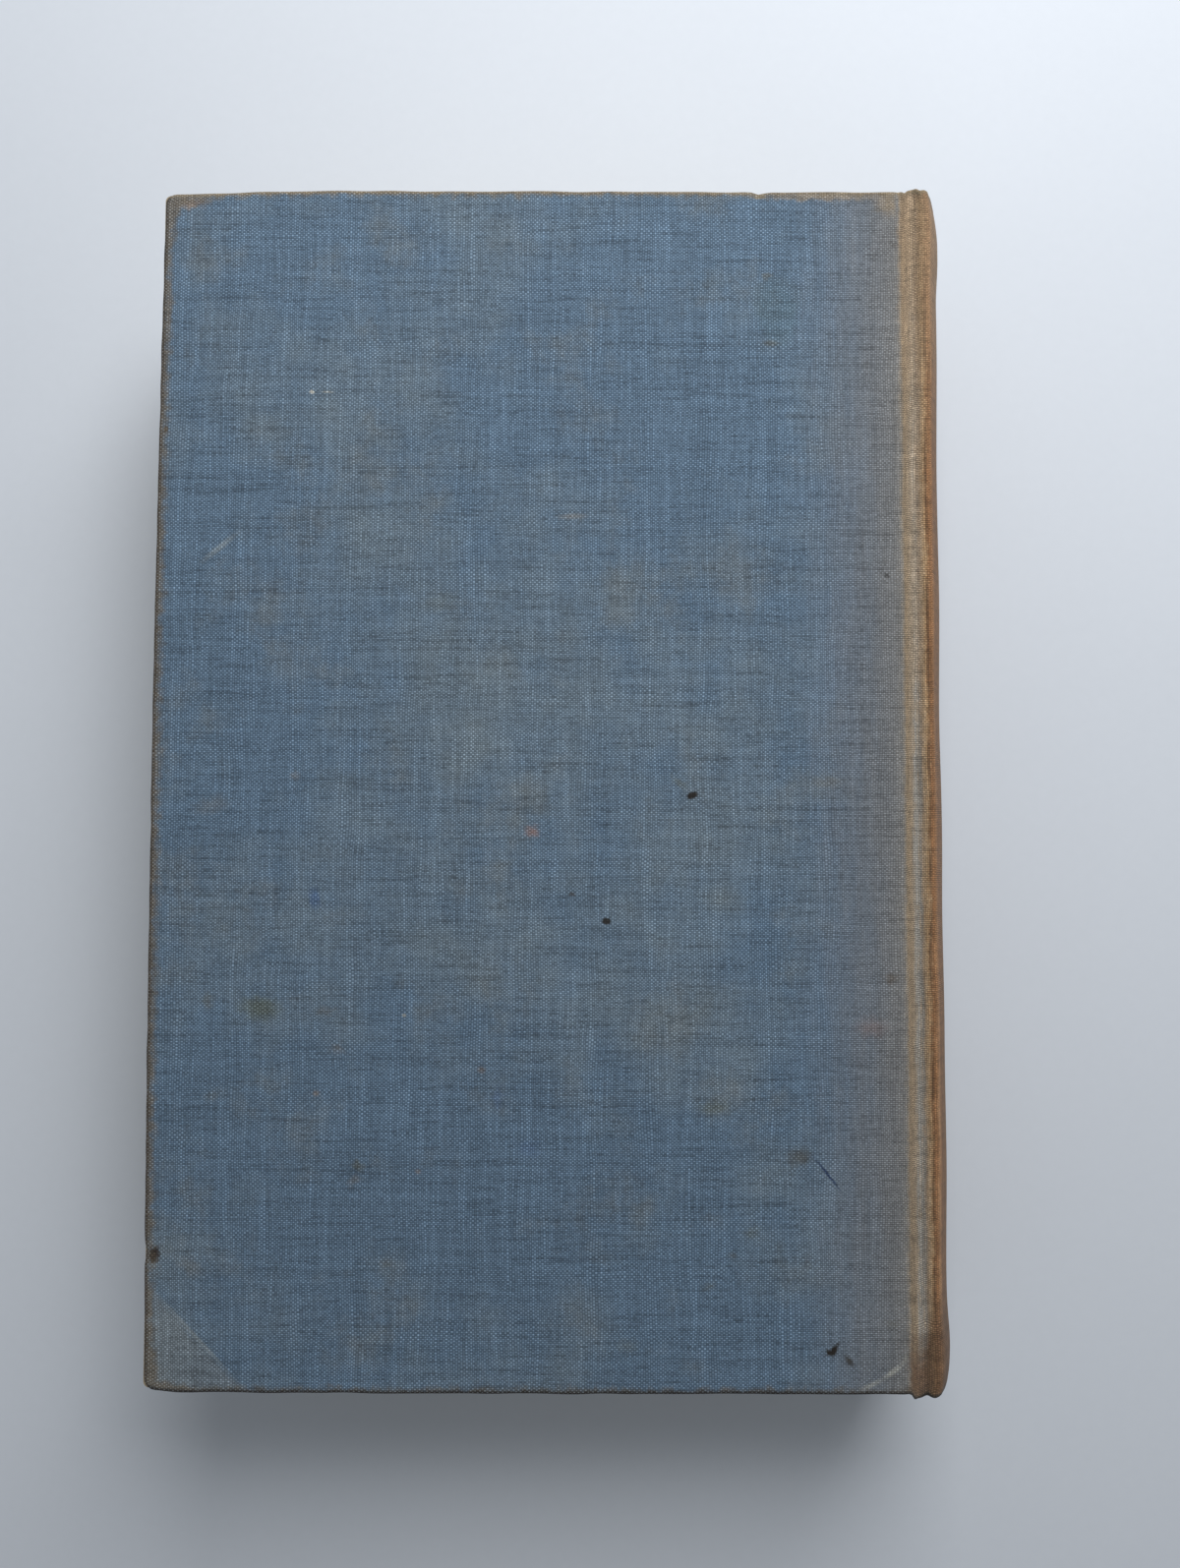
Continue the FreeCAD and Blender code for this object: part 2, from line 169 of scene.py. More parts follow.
@dataclass(frozen=True)
class Book:
    """Places that the pieces share, in millimetres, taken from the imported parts.

    Across is the distance from the plane midway between the covers.
    """

    middle: float
    fore_edge: float
    joint_edge: float
    apex: float
    cover_end: float
    cap_end: float
    cloth_face: float
    board_inside: float
    turn_in_face: float
    page_edge: float
    page_end: float
    page_face: float
    back_apex: float
    leaf_face: float
    turn_in: float = 15.0
    corner: float = 2.1
    cloth: float = 0.4
    paper: float = 0.15
    pivot_x: float = 68.425
    pivot_across: float = 19.2
    mull_half: float = 94.0
    mull_flange: float = 26.0

    @classmethod
    def from_frame(cls) -> "Book":
        """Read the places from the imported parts.

        Returns:
            The book's places.
        """
        cloth_low, cloth_high = (np.array(corner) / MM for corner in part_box("back_cloth"))
        spine_low, spine_high = (np.array(corner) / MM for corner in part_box("spine_cloth"))
        board_low, _ = (np.array(corner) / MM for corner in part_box("back_board"))
        block_low, block_high = (np.array(corner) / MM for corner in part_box("page_block"))
        leaf_low, leaf_high = (np.array(corner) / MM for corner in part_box("back_flyleaf"))
        middle = (spine_low[2] + spine_high[2]) / 2
        return cls(
            middle=middle,
            fore_edge=cloth_low[0],
            joint_edge=cloth_high[0],
            apex=spine_high[0],
            cover_end=cloth_high[1],
            cap_end=spine_high[1],
            cloth_face=cloth_high[2] - middle,
            board_inside=board_low[2] - middle,
            turn_in_face=cloth_low[2] - middle,
            page_edge=block_low[0],
            page_end=block_high[1],
            page_face=leaf_low[2] - middle,
            back_apex=block_high[0],
            leaf_face=leaf_high[2] - middle,
        )

    def hinge_height(self, cover: Cover) -> float:
        """Give the height of a cover's hinge line, in metres."""
        return (self.middle + cover.side * self.pivot_across) * MM

    def place(self, x: np.ndarray, y: np.ndarray, across: np.ndarray, side: int) -> np.ndarray:
        """Put points into the frame.

        Args:
            x: Distance towards the spine.
            y: Distance towards the head.
            across: Distance from the middle plane.
            side: 1 for the back cover's half, -1 for the front cover's.

        Returns:
            The points, with x, y and z in the last axis.
        """
        x, y, across = np.broadcast_arrays(x, y, across)
        return np.stack([x, y, self.middle + side * across], axis=-1)


# Meshes from grids of points

@dataclass
class Sheet:
    """A grid of points with the place of each on the flat cut, in millimetres."""

    points: np.ndarray
    cut: np.ndarray

    def build(self, name: str, flip: bool) -> bpy.types.Object:
        """Make the open sheet as an object.

        Args:
            name: The object's name.
            flip: True to turn its face round.

        Returns:
            The new object.
        """
        rows, columns = self.points.shape[:2]
        index = np.arange(rows * columns).reshape(rows, columns)
        quads = np.stack([index[:-1, :-1], index[:-1, 1:], index[1:, 1:], index[1:, :-1]], axis=-1)
        quads = quads.reshape(-1, 4)
        if flip:
            quads = quads[:, ::-1]
        return make_mesh(name, self.points.reshape(-1, 3), quads, self.cut.reshape(-1, 2))


def make_mesh(name: str, points: np.ndarray, faces: np.ndarray, cut: np.ndarray) -> bpy.types.Object:
    """Make a smooth mesh object from points and faces.

    Args:
        name: The object's name.
        points: The points, in millimetres.
        faces: The corners of each face.
        cut: The place of each point on the flat cut, in millimetres.

    Returns:
        The new object, in metres.
    """
    mesh = bpy.data.meshes.new(name)
    mesh.from_pydata((points * MM).tolist(), [], faces.tolist())
    mesh.shade_smooth()
    layer = mesh.uv_layers.new(name="cut")
    corners = np.empty(len(mesh.loops), dtype=np.int32)
    mesh.loops.foreach_get("vertex_index", corners)
    layer.data.foreach_set("uv", cut[corners].astype(np.float32).ravel())
    mesh.update()
    piece = bpy.data.objects.new(name, mesh)
    bpy.context.scene.collection.objects.link(piece)
    return piece


def thicken(piece: bpy.types.Object, thickness: float, crease: float = 50.0) -> None:
    """Give an open sheet its thickness, behind its face, and keep its rims crisp.

    Args:
        piece: The sheet.
        thickness: Its thickness, in millimetres.
        crease: The angle in degrees beyond which an edge shows as an edge.
    """
    shell = piece.modifiers.new("thickness", "SOLIDIFY")
    shell.thickness = thickness * MM
    shell.offset = -1.0
    shell.use_rim = True
    graph = bpy.context.evaluated_depsgraph_get()
    solid = bpy.data.meshes.new_from_object(piece.evaluated_get(graph))
    piece.modifiers.clear()
    old = piece.data
    piece.data = solid
    bpy.data.meshes.remove(old)
    solid.name = piece.name
    solid.set_sharp_from_angle(angle=math.radians(crease))


# Steps that the finishes are made of

class Sums:
    """A tree of nodes, and the sums that it is built up with."""

    def __init__(self, tree: bpy.types.NodeTree) -> None:
        """Take an empty tree."""
        self.tree = tree

    def add(self, kind: str, **settings: object) -> bpy.types.Node:
        """Add a node.

        Args:
            kind: The node's type.
            settings: Values for the node's own options.

        Returns:
            The node.
        """
        node = self.tree.nodes.new(kind)
        for name, value in settings.items():
            setattr(node, name, value)
        return node

    def feed(self, socket: Socket, value: object) -> None:
        """Link a value to a socket, or write it there if it is a plain number.

        Args:
            socket: Where it goes.
            value: A socket of another node, a number or a row of numbers.
        """
        if isinstance(value, bpy.types.NodeSocket):
            self.tree.links.new(value, socket)
        else:
            socket.default_value = value

    def sum(self, step: str, first: Value, second: Value = 0.0) -> Socket:
        """Work out a number from one or two others.

        Args:
            step: The kind of sum, as the maths node names it.
            first: The first number.
            second: The second number.

        Returns:
            The result.
        """
        node = self.add("ShaderNodeMath", operation=step)
        self.feed(node.inputs[0], first)
        self.feed(node.inputs[1], second)
        return node.outputs[0]

    def product(self, *values: Value) -> Socket:
        """Multiply numbers.

        Args:
            values: The numbers.

        Returns:
            Their product.
        """
        result = values[0]
        for value in values[1:]:
            result = self.sum("MULTIPLY", result, value)
        return result

    def total(self, *values: Value) -> Socket:
        """Add numbers up.

        Args:
            values: The numbers.

        Returns:
            Their sum.
        """
        result = values[0]
        for value in values[1:]:
            result = self.sum("ADD", result, value)
        return result

    def without(self, share: Value) -> Socket:
        """Give what a share leaves of a whole."""
        return self.sum("SUBTRACT", 1.0, share)

    def step(self, value: Value, low: Value, high: float, start: float = 0.0, end: float = 1.0) -> Socket:
        """Go smoothly from start to end while value goes from low to high.

        Args:
            value: The number to follow.
            low: Where the step begins.
            high: Where the step ends, above low.
            start: The result up to low.
            end: The result from high on.

        Returns:
            The result.
        """
        node = self.add("ShaderNodeMapRange", interpolation_type="SMOOTHSTEP")
        self.feed(node.inputs["Value"], value)
        for name, number in (("From Min", low), ("From Max", high), ("To Min", start), ("To Max", end)):
            self.feed(node.inputs[name], number)
        return node.outputs["Result"]

    def vector(self, x: Value, y: Value, z: Value = 0.0) -> Socket:
        """Put three numbers into one place.

        Args:
            x: The first number.
            y: The second number.
            z: The third number.

        Returns:
            The place.
        """
        node = self.add("ShaderNodeCombineXYZ")
        for socket, value in zip(node.inputs, (x, y, z)):
            self.feed(socket, value)
        return node.outputs[0]

    def parts(self, place: Socket) -> tuple[Socket, Socket, Socket]:
        """Split a place into its three numbers.

        Args:
            place: The place.

        Returns:
            The three numbers.
        """
        node = self.add("ShaderNodeSeparateXYZ")
        self.feed(node.inputs[0], place)
        return node.outputs[0], node.outputs[1], node.outputs[2]


class Recipe(Sums):
    """A material's nodes, with the steps that the finishes are made of."""

    def __init__(self, name: str) -> None:
        """Start a material with nothing but a surface and its output.

        Args:
            name: The material's name.
        """
        self.material = bpy.data.materials.new(name)
        self.material.use_nodes = True
        super().__init__(self.material.node_tree)
        self.tree.nodes.clear()
        self.surface = self.add("ShaderNodeBsdfPrincipled")
        output = self.add("ShaderNodeOutputMaterial")
        self.feed(output.inputs["Surface"], self.surface.outputs["BSDF"])

    def grain(self, place: Socket, across: float, along: Optional[float] = None, detail: float = 2.0,
              rough: float = 0.5, seed: float = 0.0, flat: bool = True) -> Socket:
        """Give a seeded noise whose spots have a size in millimetres.

        Args:
            place: Where it is taken, in millimetres.
            across: The spots' size along the first axis.
            along: The spots' size along the others, the same where left out.
            detail: How many finer layers it has.
            rough: How strong the finer layers are.
            seed: A number that picks another pattern.
            flat: True where the place is on a flat cut, False in a solid.

        Returns:
            A number about 0.5, from 0 to 1.
        """
        along = across if along is None else along
        move = self.add("ShaderNodeMapping")
        self.feed(move.inputs["Vector"], place)
        move.inputs["Location"].default_value = (seed * 3.7, seed * 5.3, seed * 2.9)
        move.inputs["Scale"].default_value = (1.0 / across, 1.0 / along, 1.0 / along)
        node = self.add("ShaderNodeTexNoise", noise_dimensions="2D" if flat else "3D")
        self.feed(node.inputs["Vector"], move.outputs[0])
        node.inputs["Scale"].default_value = 1.0
        node.inputs["Detail"].default_value = detail
        node.inputs["Roughness"].default_value = rough
        return node.outputs[0]

    def chance(self, place: Socket) -> Socket:
        """Give each whole-numbered place its own number.

        Args:
            place: The place.

        Returns:
            A number from 0 to 1.
        """
        node = self.add("ShaderNodeTexWhiteNoise", noise_dimensions="2D")
        self.feed(node.inputs["Vector"], place)
        return node.outputs["Value"]

    def swing(self, value: Socket, size: Value) -> Socket:
        """Turn a noise about 0.5 into a swing about 0 of a size."""
        return self.sum("MULTIPLY", self.sum("SUBTRACT", value, 0.5), size)

    def tint(self, share: Value, under: Union[Tone, Socket], over: Union[Tone, Socket]) -> Socket:
        """Lay one colour over another.

        Args:
            share: How much of the upper colour shows, from 0 to 1.
            under: The lower colour.
            over: The upper colour.

        Returns:
            The mixed colour.
        """
        node = self.add("ShaderNodeMix", data_type="RGBA")
        self.feed(node.inputs[0], share)
        for socket, colour in ((node.inputs[6], under), (node.inputs[7], over)):
            self.feed(socket, colour if isinstance(colour, bpy.types.NodeSocket) else linear(colour))
        return node.outputs[2]

    def plain(self, tone: Tone) -> Socket:
        """Give one colour everywhere."""
        return self.tint(0.0, tone, tone)

    def shade(self, colour: Socket, factor: Value) -> Socket:
        """Make a colour lighter or darker.

        Args:
            colour: The colour.
            factor: What it is multiplied by.

        Returns:
            The new colour.
        """
        node = self.add("ShaderNodeVectorMath", operation="SCALE")
        self.feed(node.inputs[0], colour)
        self.feed(node.inputs["Scale"], factor)
        return node.outputs[0]

    def bands(self, value: Socket, span: tuple[float, float], stops: list[tuple[float, Tone]]) -> Socket:
        """Give the colour of a row of bands.

        Args:
            value: Where it is taken.
            span: The values at the row's two ends.
            stops: The place and colour of each band.

        Returns:
            The colour there.
        """
        low, high = span
        share = self.sum("DIVIDE", self.sum("SUBTRACT", value, low), high - low)
        node = self.add("ShaderNodeValToRGB")
        self.feed(node.inputs[0], share)
        ramp = node.color_ramp
        for number, (place, tone) in enumerate(stops):
            where = (place - low) / (high - low)
            stop = ramp.elements[number] if number < 2 else ramp.elements.new(where)
            stop.position = where
            stop.color = linear(tone)
        return node.outputs[0]

    def relief(self, height: Socket, depth: float) -> Socket:
        """Turn a height into the slope of the surface.

        Args:
            height: The height, from 0 to 1.
            depth: What a height of 1 stands for, in millimetres.

        Returns:
            The surface's direction.
        """
        node = self.add("ShaderNodeBump")
        node.inputs["Strength"].default_value = 1.0
        node.inputs["Distance"].default_value = depth * MM
        self.feed(node.inputs["Height"], height)
        return node.outputs[0]

    def cut_place(self) -> Socket:
        """Give the place on the flat cut, in millimetres."""
        return self.add("ShaderNodeUVMap", uv_map="cut").outputs[0]

    def solid_place(self) -> Socket:
        """Give the place in the piece.

        Returns:
            The place, in millimetres.
        """
        node = self.add("ShaderNodeVectorMath", operation="SCALE")
        self.feed(node.inputs[0], self.add("ShaderNodeTexCoord").outputs["Object"])
        node.inputs["Scale"].default_value = 1.0 / MM
        return node.outputs[0]

    def finish(self, colour: Socket, rough: Value, normal: Optional[Socket],
               specular: float) -> bpy.types.Material:
        """Connect the surface.

        Args:
            colour: Its colour.
            rough: Its roughness.
            normal: Its relief, or None.
            specular: How much it shines, the same all over.

        Returns:
            The material.
        """
        self.feed(self.surface.inputs["Base Color"], colour)
        self.feed(self.surface.inputs["Roughness"], rough)
        self.surface.inputs["Specular IOR Level"].default_value = specular
        if normal is not None:
            self.feed(self.surface.inputs["Normal"], normal)
        return self.material


@dataclass(frozen=True)
class Mark:
    """A stain, spot, scuff or crease on a cover, in millimetres from the cover's middle.

    Long and short are half its length and half its width, and turn is its angle in degrees.
    """

    x: float
    y: float
    long: float
    short: float
    turn: float
    tone: Tone
    strength: float
    soft: float = 0.5
    hollow: float = 0.0


class MarkMask:
    """The mask of one mark, as a group of nodes that all marks share."""

    NAME = "mark_mask"

    def __init__(self) -> None:
        """Build the group once."""
        group = bpy.data.node_groups.new(self.NAME, "ShaderNodeTree")
        for name, kind in (("Place", "Vector"), ("Centre", "Vector"), ("Turn", "Float"), ("Size", "Vector"),
                           ("Soft", "Float"), ("Hollow", "Float")):
            group.interface.new_socket(name=name, in_out="INPUT", socket_type=f"NodeSocket{kind}")
        group.interface.new_socket(name="Amount", in_out="OUTPUT", socket_type="NodeSocketFloat")
        sums = Sums(group)
        given = sums.add("NodeGroupInput").outputs
        away = sums.add("ShaderNodeVectorMath", operation="SUBTRACT")
        sums.feed(away.inputs[0], given["Place"])
        sums.feed(away.inputs[1], given["Centre"])
        turned = sums.add("ShaderNodeVectorRotate", rotation_type="Z_AXIS")
        sums.feed(turned.inputs["Vector"], away.outputs[0])
        sums.feed(turned.inputs["Angle"], given["Turn"])
        scaled = sums.add("ShaderNodeVectorMath", operation="DIVIDE")
        sums.feed(scaled.inputs[0], turned.outputs[0])
        sums.feed(scaled.inputs[1], given["Size"])
        length = sums.add("ShaderNodeVectorMath", operation="LENGTH")
        sums.feed(length.inputs[0], scaled.outputs[0])
        reach = length.outputs["Value"]
        rim = sums.step(reach, sums.without(given["Soft"]), 1.0, 1.0, 0.0)
        core = sums.step(reach, 0.25, 0.95, 1.0, 0.0)
        amount = sums.product(rim, sums.without(sums.product(core, given["Hollow"])))
        sums.feed(sums.add("NodeGroupOutput").inputs["Amount"], amount)
        self.group = group

    def amount(self, recipe: Recipe, place: Socket, mark: Mark) -> Socket:
        """Say how much of a mark shows.

        Args:
            recipe: The material that it is for.
            place: The place on the cover, in millimetres.
            mark: The mark.

        Returns:
            The amount, from 0 to 1.
        """
        node = recipe.add("ShaderNodeGroup", node_tree=self.group)
        recipe.feed(node.inputs["Place"], place)
        node.inputs["Centre"].default_value = (mark.x, mark.y, 0.0)
        node.inputs["Turn"].default_value = math.radians(-mark.turn)
        node.inputs["Size"].default_value = (mark.long, mark.short, 1.0)
        node.inputs["Soft"].default_value = mark.soft
        node.inputs["Hollow"].default_value = mark.hollow
        return node.outputs["Amount"]


# Finishes

# The fold of the turned-in corner that shows on the back cover: the way it faces and how far out it lies
FOLD_X = -0.7214
FOLD_Y = -0.6925
FOLD_AWAY = 117.4

# A mark narrower than this keeps a crisp outline, and one darker than this hides the pale threads
CRISP_WIDTH = 1.0
DARK_TONE = 240

BACK_MARKS: tuple[Mark, ...] = (
    Mark(22.2, -0.6, 2.7, 1.2, 140, (88, 92, 86), 0.50, 0.9),
    Mark(24.7, -3.0, 1.4, 0.85, 20, (36, 34, 32), 1.0, 0.5),
    Mark(8.8, -26.2, 1.1, 0.85, 0, (34, 34, 34), 1.0, 0.5),
    Mark(2.5, -21.3, 0.9, 0.55, -15, (66, 66, 66), 0.75, 0.7),
    Mark(50.0, -103.2, 1.9, 1.1, 45, (32, 28, 24), 1.0, 0.6),
    Mark(52.9, -104.9, 1.9, 0.8, -50, (52, 48, 42), 0.85, 0.9),
    Mark(-4.9, -9.7, 2.0, 1.6, 0, (120, 98, 94), 0.9, 0.9),
    Mark(-54.6, -42.2, 5.2, 3.0, -8, (78, 86, 80), 0.9, 0.8),
    Mark(-64.2, -41.2, 1.7, 2.4, 10, (88, 90, 84), 0.5, 0.9),
    Mark(-63.0, -58.0, 2.6, 1.6, 30, (92, 96, 94), 0.35, 0.9),
    Mark(44.2, -69.0, 3.4, 2.6, 10, (78, 80, 78), 0.78, 0.9),
    Mark(49.2, -72.0, 5.4, 0.34, -51, (36, 52, 80), 0.95, 0.8),
    Mark(40.6, 90.4, 5.4, 5.0, 0, (74, 90, 98), 0.42, 0.3, 0.75),
    Mark(40.8, 87.5, 4.6, 7.2, 8, (80, 104, 116), 0.5, 0.5, 0.35),
    Mark(38.9, 94.6, 1.7, 1.0, 20, (88, 88, 80), 0.55, 0.8),
    Mark(39.6, 82.0, 2.2, 0.9, 0, (86, 86, 78), 0.55, 0.8),
    Mark(28.0, 93.3, 3.0, 1.7, 10, (78, 90, 98), 0.45, 0.9),
    Mark(-46.7, 72.6, 0.6, 0.45, 0, (178, 176, 166), 0.85, 0.5),
    Mark(-43.8, 72.6, 1.6, 0.3, 0, (158, 158, 150), 0.55, 0.7),
    Mark(-63.4, 43.2, 6.0, 0.9, 40, (140, 146, 144), 0.4, 0.9),
    Mark(2.3, 49.2, 4.0, 0.8, 2, (128, 126, 122), 0.5, 0.9),
    Mark(61.0, 38.1, 0.7, 0.6, 0, (60, 60, 60), 0.8, 0.5),
    Mark(63.0, 100.5, 0.6, 0.5, 0, (74, 72, 70), 0.7, 0.5),
    Mark(-74.0, 65.6, 0.6, 0.8, 0, (74, 66, 56), 0.8, 0.5),
    Mark(-73.5, -86.5, 1.4, 2.0, 0, (42, 32, 25), 0.95, 0.6),
    Mark(61.0, 107.6, 3.4, 0.7, 12, (90, 88, 84), 0.55, 0.8),
    Mark(-44.8, -22.2, 1.3, 2.8, 0, (58, 84, 122), 0.6, 0.8),
    Mark(49.6, -0.5, 5.0, 1.4, 0, (102, 103, 100), 0.45, 0.9),
    Mark(-48.7, 0.4, 1.4, 1.1, 0, (104, 100, 96), 0.45, 0.9),
    Mark(-36.4, -70.8, 1.9, 1.5, -30, (84, 86, 76), 0.65, 0.9),
    Mark(-37.2, -73.4, 2.2, 1.2, 20, (108, 104, 98), 0.4, 0.95),
    Mark(-14.0, -53.4, 1.2, 0.95, 0, (94, 84, 78), 0.7, 0.9),
    Mark(-44.2, -57.7, 1.0, 0.8, 0, (116, 106, 98), 0.7, 0.9),
    Mark(-25.5, -71.7, 0.9, 0.7, 0, (110, 102, 98), 0.6, 0.9),
    Mark(-40.4, -49.6, 2.0, 1.5, 0, (102, 98, 94), 0.5, 0.95),
    Mark(-42.6, -42.8, 2.6, 1.3, 10, (104, 102, 98), 0.4, 0.95),
    Mark(-28.2, -43.5, 0.5, 0.4, 0, (150, 150, 142), 0.7, 0.7),
    Mark(-5.5, -67.5, 3.6, 2.6, 0, (68, 92, 130), 0.3, 0.95),
    Mark(-11.0, -58.5, 1.6, 3.0, 0, (66, 90, 128), 0.35, 0.95),
    Mark(-31.0, -88.0, 2.2, 1.4, 0, (92, 96, 96), 0.4, 0.9),
    Mark(-67.0, -88.5, 4.2, 2.4, -35, (104, 104, 100), 0.42, 0.9),
    Mark(-64.0, -5.0, 5.0, 2.2, 15, (110, 112, 112), 0.35, 0.9),
    Mark(-50.0, 20.0, 6.0, 3.0, 0, (100, 106, 108), 0.25, 0.9),
    Mark(63.4, -104.3, 2.2, 0.8, 50, (150, 148, 140), 0.75, 0.95),
    Mark(60.8, -106.8, 2.8, 0.8, 36, (156, 156, 148), 0.8, 0.95),
    Mark(56.9, -109.1, 3.3, 0.75, 25, (146, 147, 142), 0.7, 0.95),
    Mark(-65.6, -101.2, 12.1, 0.6, -46, (138, 146, 148), 0.5, 0.95),
    Mark(37.6, 110.0, 1.6, 0.6, 0, (150, 138, 116), 0.9, 0.6),
    Mark(-70.5, 108.9, 5.0, 1.6, 4, (124, 100, 72), 0.65, 0.9),
    Mark(-74.0, 88.0, 0.8, 10.0, 0, (112, 96, 74), 0.5, 0.9),
    Mark(49.0, 110.0, 17.0, 1.3, 0, (146, 130, 108), 0.7, 0.9),
    Mark(62.4, 108.4, 4.2, 3.0, -25, (136, 122, 102), 0.8, 0.9),
    Mark(60.8, -98.5, 2.2, 1.4, 0, (84, 82, 76), 0.5, 0.9),
    Mark(33.0, -112.0, 40.0, 1.6, 0, (92, 86, 76), 0.35, 0.9),
    Mark(28.5, -60.1, 4.4, 1.7, 4, (86, 92, 84), 0.6, 0.95),
    Mark(27.7, -91.9, 2.2, 1.3, 20, (76, 82, 82), 0.6, 0.95),
    Mark(31.9, -86.4, 1.3, 0.9, 0, (74, 78, 78), 0.55, 0.9),
    Mark(35.4, -82.4, 2.2, 1.2, 30, (82, 90, 88), 0.5, 0.9),
    Mark(61.2, -36.7, 1.9, 1.5, 0, (84, 76, 68), 0.65, 0.9),
    Mark(57.6, -45.6, 4.5, 2.8, 0, (112, 98, 96), 0.6, 0.95),
    Mark(12.6, -102.4, 3.0, 2.0, 0, (86, 92, 90), 0.45, 0.95),
    Mark(-22.0, 33.0, 5.0, 3.0, 20, (94, 98, 92), 0.35, 0.95),
    Mark(-55.0, 66.0, 6.0, 4.0, 0, (92, 98, 98), 0.3, 0.95),
    Mark(30.0, -22.0, 7.0, 3.5, -15, (104, 110, 108), 0.3, 0.95),
)

FRONT_MARKS: tuple[Mark, ...] = (
    Mark(-30.0, 42.0, 3.6, 2.4, 20, (88, 92, 88), 0.45, 0.9),
    Mark(14.0, -36.0, 1.0, 0.7, 0, (56, 54, 52), 0.8, 0.6),
    Mark(52.0, 70.0, 4.0, 0.3, 60, (60, 74, 96), 0.5, 0.7),
    Mark(-58.0, -80.0, 4.5, 2.6, -20, (92, 94, 90), 0.4, 0.9),
)


class ClothPlaces:
    """Places on the flat cut of the book cloth, which the steps of its finish share."""

    def __init__(self, recipe: Recipe, path: "CasePath") -> None:
        """Work out the places for one material.

        Args:
            recipe: The material.
            path: The cloth's line across the book.
        """
        self.recipe = recipe
        self.cut = recipe.cut_place()
        self.signed, self.along, _ = recipe.parts(self.cut)
        self.run = recipe.sum("ABSOLUTE", self.signed)
        self.face_x = recipe.sum("SUBTRACT", path.flat_start, self.run)
        self.in_joint = recipe.step(self.run, path.edge + 0.2, path.edge + 1.6, 1.0, 0.0)
        self.on_board = recipe.step(self.run, path.edge + 0.5, path.edge + 1.5)
        self.ribbed = recipe.step(self.run, path.edge + 7.0, path.edge + 24.0, 1.0, 0.0)


class Threads:
    """Threads that cross over and under, each with its own thickness and tone."""

    # How far apart in its noise two threads that lie side by side are
    LINE_STEP = 7.31

    def __init__(self, places: ClothPlaces, cloth: "BookCloth") -> None:
        """Lay the threads.

        Args:
            places: The places on the cloth.
            cloth: The cloth, with the pitch of its threads.
        """
        recipe, cut, seed = places.recipe, places.cut, cloth.seed
        drift_u = recipe.swing(recipe.grain(cut, 7.0, 22.0, 2.0, seed=seed), 1.4)
        drift_v = recipe.swing(recipe.grain(cut, 26.0, 6.0, 2.0, seed=seed + 1), 1.2)
        warp_place = recipe.product(recipe.total(places.signed, drift_u), 1.0 / cloth.warp_pitch)
        weft_place = recipe.product(recipe.total(places.along, drift_v), 1.0 / cloth.weft_pitch)
        warp = recipe.sum("SINE", recipe.product(warp_place, math.pi))
        self.weft = recipe.sum("SINE", recipe.product(weft_place, math.pi))
        weave = recipe.product(warp, self.weft)
        self.crown = recipe.sum("POWER", recipe.sum("MAXIMUM", weave, 0.0), 1.2)
        self.closed = recipe.sum("POWER", recipe.sum("ABSOLUTE", weave), 0.45)
        self.on_top = recipe.step(weave, -0.25, 0.25)
        column = recipe.sum("FLOOR", warp_place)
        row = recipe.sum("FLOOR", weft_place)
        self.fleck = recipe.chance(recipe.vector(column, row))
        weft_line = recipe.vector(places.signed, recipe.product(row, self.LINE_STEP))
        warp_line = recipe.vector(recipe.product(column, self.LINE_STEP), places.along)
        self.weft_thread = recipe.grain(weft_line, 15.0, 1.0, 2.0, 0.6, seed=seed + 2)
        self.warp_thread = recipe.grain(warp_line, 1.0, 20.0, 2.0, 0.6, seed=seed + 4)
        self.weft_band = recipe.grain(cut, 34.0, 1.5, 2.0, 0.6, seed=seed + 3)
        self.warp_band = recipe.grain(cut, 1.7, 40.0, 2.0, 0.6, seed=seed + 5)


